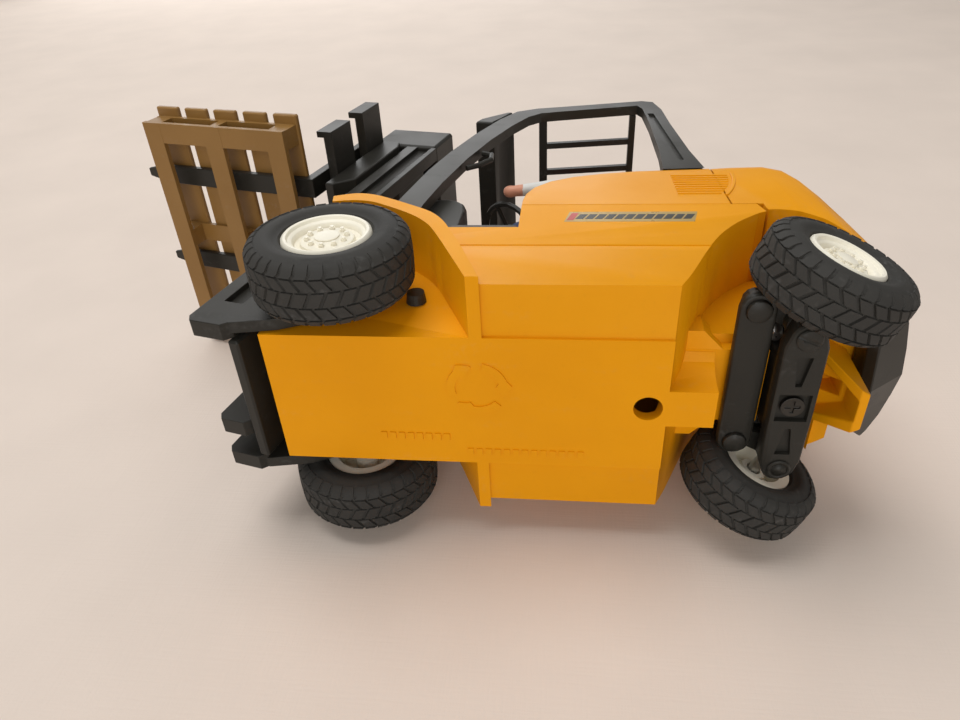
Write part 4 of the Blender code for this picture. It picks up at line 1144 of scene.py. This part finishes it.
# ---- camera, light and floor --------------------------------------------------------------------
@dataclass
class Studio:
    """Camera at the reference angle, soft light and pale floors."""

    extent: tuple[Vector, Vector]

    def build(self) -> None:
        """Set up everything that isn't the toy."""
        self.camera()
        self.world()
        self.lights()
        self.floors()

    def camera(self) -> None:
        """A wide camera close under the toy's left side."""
        data = bpy.data.cameras.new("camera")
        data.sensor_width = 36.0
        data.lens = 27.17
        data.clip_start = 0.005
        thing = bpy.data.objects.new("camera", data)
        right = Vector((-0.0501, 0.9930, 0.1070)).normalized()
        back = Vector((0.5696, 0.1164, -0.8136)).normalized()
        up = back.cross(right).normalized()
        right = up.cross(back)
        turn = Matrix((right, up, back)).transposed().to_4x4()
        thing.matrix_world = Matrix.Translation((0.0945, 0.0295, -0.1121)) @ turn
        bpy.context.scene.collection.objects.link(thing)
        bpy.context.scene.camera = thing

    def world(self) -> None:
        """Even, slightly warm surroundings."""
        world = bpy.data.worlds.new("studio")
        world.use_nodes = True
        background = world.node_tree.nodes["Background"]
        background.inputs["Color"].default_value = (1.0, 0.97, 0.93, 1.0)
        background.inputs["Strength"].default_value = 0.30
        bpy.context.scene.world = world
        bpy.context.scene.view_settings.view_transform = "Standard"

    def lights(self) -> None:
        """A large key beside the camera, a fill, and a light for the standing views."""
        self.area("key", (1.15, -0.25, 0.15), 0.80, 9.0)
        self.area("fill", (0.30, 0.10, -0.95), 0.80, 4.6)
        self.area("overhead", (0.25, -0.30, 1.10), 0.90, 4.5)

    def area(self, name: str, place: Colour, size: float, power: float) -> None:
        """A square light aimed at the toy.

        Args:
            name: light name.
            place: where it stands, in metres.
            size: side of the square, in metres.
            power: its watts.
        """
        data = bpy.data.lights.new(name, "AREA")
        data.size = size
        data.energy = power
        thing = bpy.data.objects.new(name, data)
        aim = Vector((0.0, 0.0, 0.06)) - Vector(place)
        thing.matrix_world = Matrix.Translation(place) @ aim.to_track_quat("-Z", "Y").to_matrix().to_4x4()
        bpy.context.scene.collection.objects.link(thing)

    def floor_material(self, name: str, colour: Colour) -> bpy.types.Material:
        """A pale matt surface that is clear from behind.

        Args:
            name: material name.
            colour: its tone.

        Returns:
            The material.
        """
        graph = Graph(name)
        mottling = graph.noise(0.02, 4.0)
        graph.set("Base Color", graph.blend(mottling.span(0.3, 0.7), colour, tuple(0.94 * c for c in colour)))
        graph.set("Roughness", 0.9)
        warp = graph.noise(1.6, 2.0, (1.0, 0.05, 1.0))
        weft = graph.noise(1.6, 2.0, (0.05, 1.0, 1.0))
        graph.set("Normal", graph.bump(warp + weft + graph.noise(0.01, 3.0) * 6.0, 0.05))
        behind = graph.node("ShaderNodeNewGeometry", output="Backfacing")
        clear = graph.node("ShaderNodeBsdfTransparent")
        solid = Signal(graph, graph.shader.outputs[0])
        mixed = graph.node("ShaderNodeMixShader", {}, {0: behind, 1: solid, 2: clear})
        output = graph.tree.nodes["Material Output"]
        graph.tree.links.new(mixed.socket, output.inputs["Surface"])
        return graph.material

    def floors(self) -> None:
        """The surface beside the toy's lower side, and one under its wheels that only the camera sees."""
        low, _ = self.extent
        lying = self.plane("lying_floor", Matrix.Translation((low.x - 0.0004, 0.0, 0.06))
                           @ Matrix.Rotation(math.radians(90.0), 4, "Y"), (0.76, 0.655, 0.575))
        standing = self.plane("standing_floor", Matrix.Translation((0.0, 0.0, -0.0002)), (0.70, 0.66, 0.62))
        for ray in ("visible_shadow", "visible_diffuse", "visible_glossy", "visible_transmission"):
            setattr(standing, ray, False)
        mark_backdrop(lying, standing)

    def plane(self, name: str, matrix: Matrix, colour: Colour) -> bpy.types.Object:
        """A large square with its normal along the matrix's Z.

        Args:
            name: object and material name.
            matrix: its place in the world, in metres.
            colour: its tone.

        Returns:
            The square.
        """
        mesh = bpy.data.meshes.new(name)
        reach = 9.0
        corners = [(-reach, -reach, 0.0), (reach, -reach, 0.0), (reach, reach, 0.0), (-reach, reach, 0.0)]
        mesh.from_pydata(corners, [], [(0, 1, 2, 3)])
        mesh.materials.append(self.floor_material(name, colour))
        thing = bpy.data.objects.new(name, mesh)
        thing.matrix_world = matrix
        bpy.context.scene.collection.objects.link(thing)
        return thing


def wheels(shop: Workshop) -> list[Wheel]:
    """The four wheels, sized from their CAD nodes.

    Args:
        shop: the workshop that they are built in.

    Returns:
        The wheels, front pair first.
    """
    made = []
    for end, rim, lugs, nuts in (("front", 8.5, 34, 10), ("rear", 7.0, 30, 10)):
        low, high = shop.box(f"{end}_tyre_left")
        radius = (high.z - low.z) / 2.0
        width = 13.6 if end == "front" else 12.2
        for side in ("left", "right"):
            made.append(Wheel(shop, end, side, radius, width, rim, lugs, nuts))
    return made


def main() -> None:
    """Dress the whole toy."""
    logging.basicConfig(level=logging.INFO, format="%(name)s: %(message)s")
    for thing in list(bpy.data.objects):
        bpy.data.objects.remove(thing, do_unlink=True)
    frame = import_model()
    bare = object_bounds()
    shop = Workshop(frame)
    shop.paint_frame()
    for wheel in wheels(shop):
        wheel.build()
    for group in (Bodywork(shop), Guard(shop), Lift(shop), SteeringGear(shop), Cab(shop), Driver(shop)):
        group.build()
    Studio(tuple(Vector(corner) for corner in bare)).build()


if __name__ == "__main__":
    main()
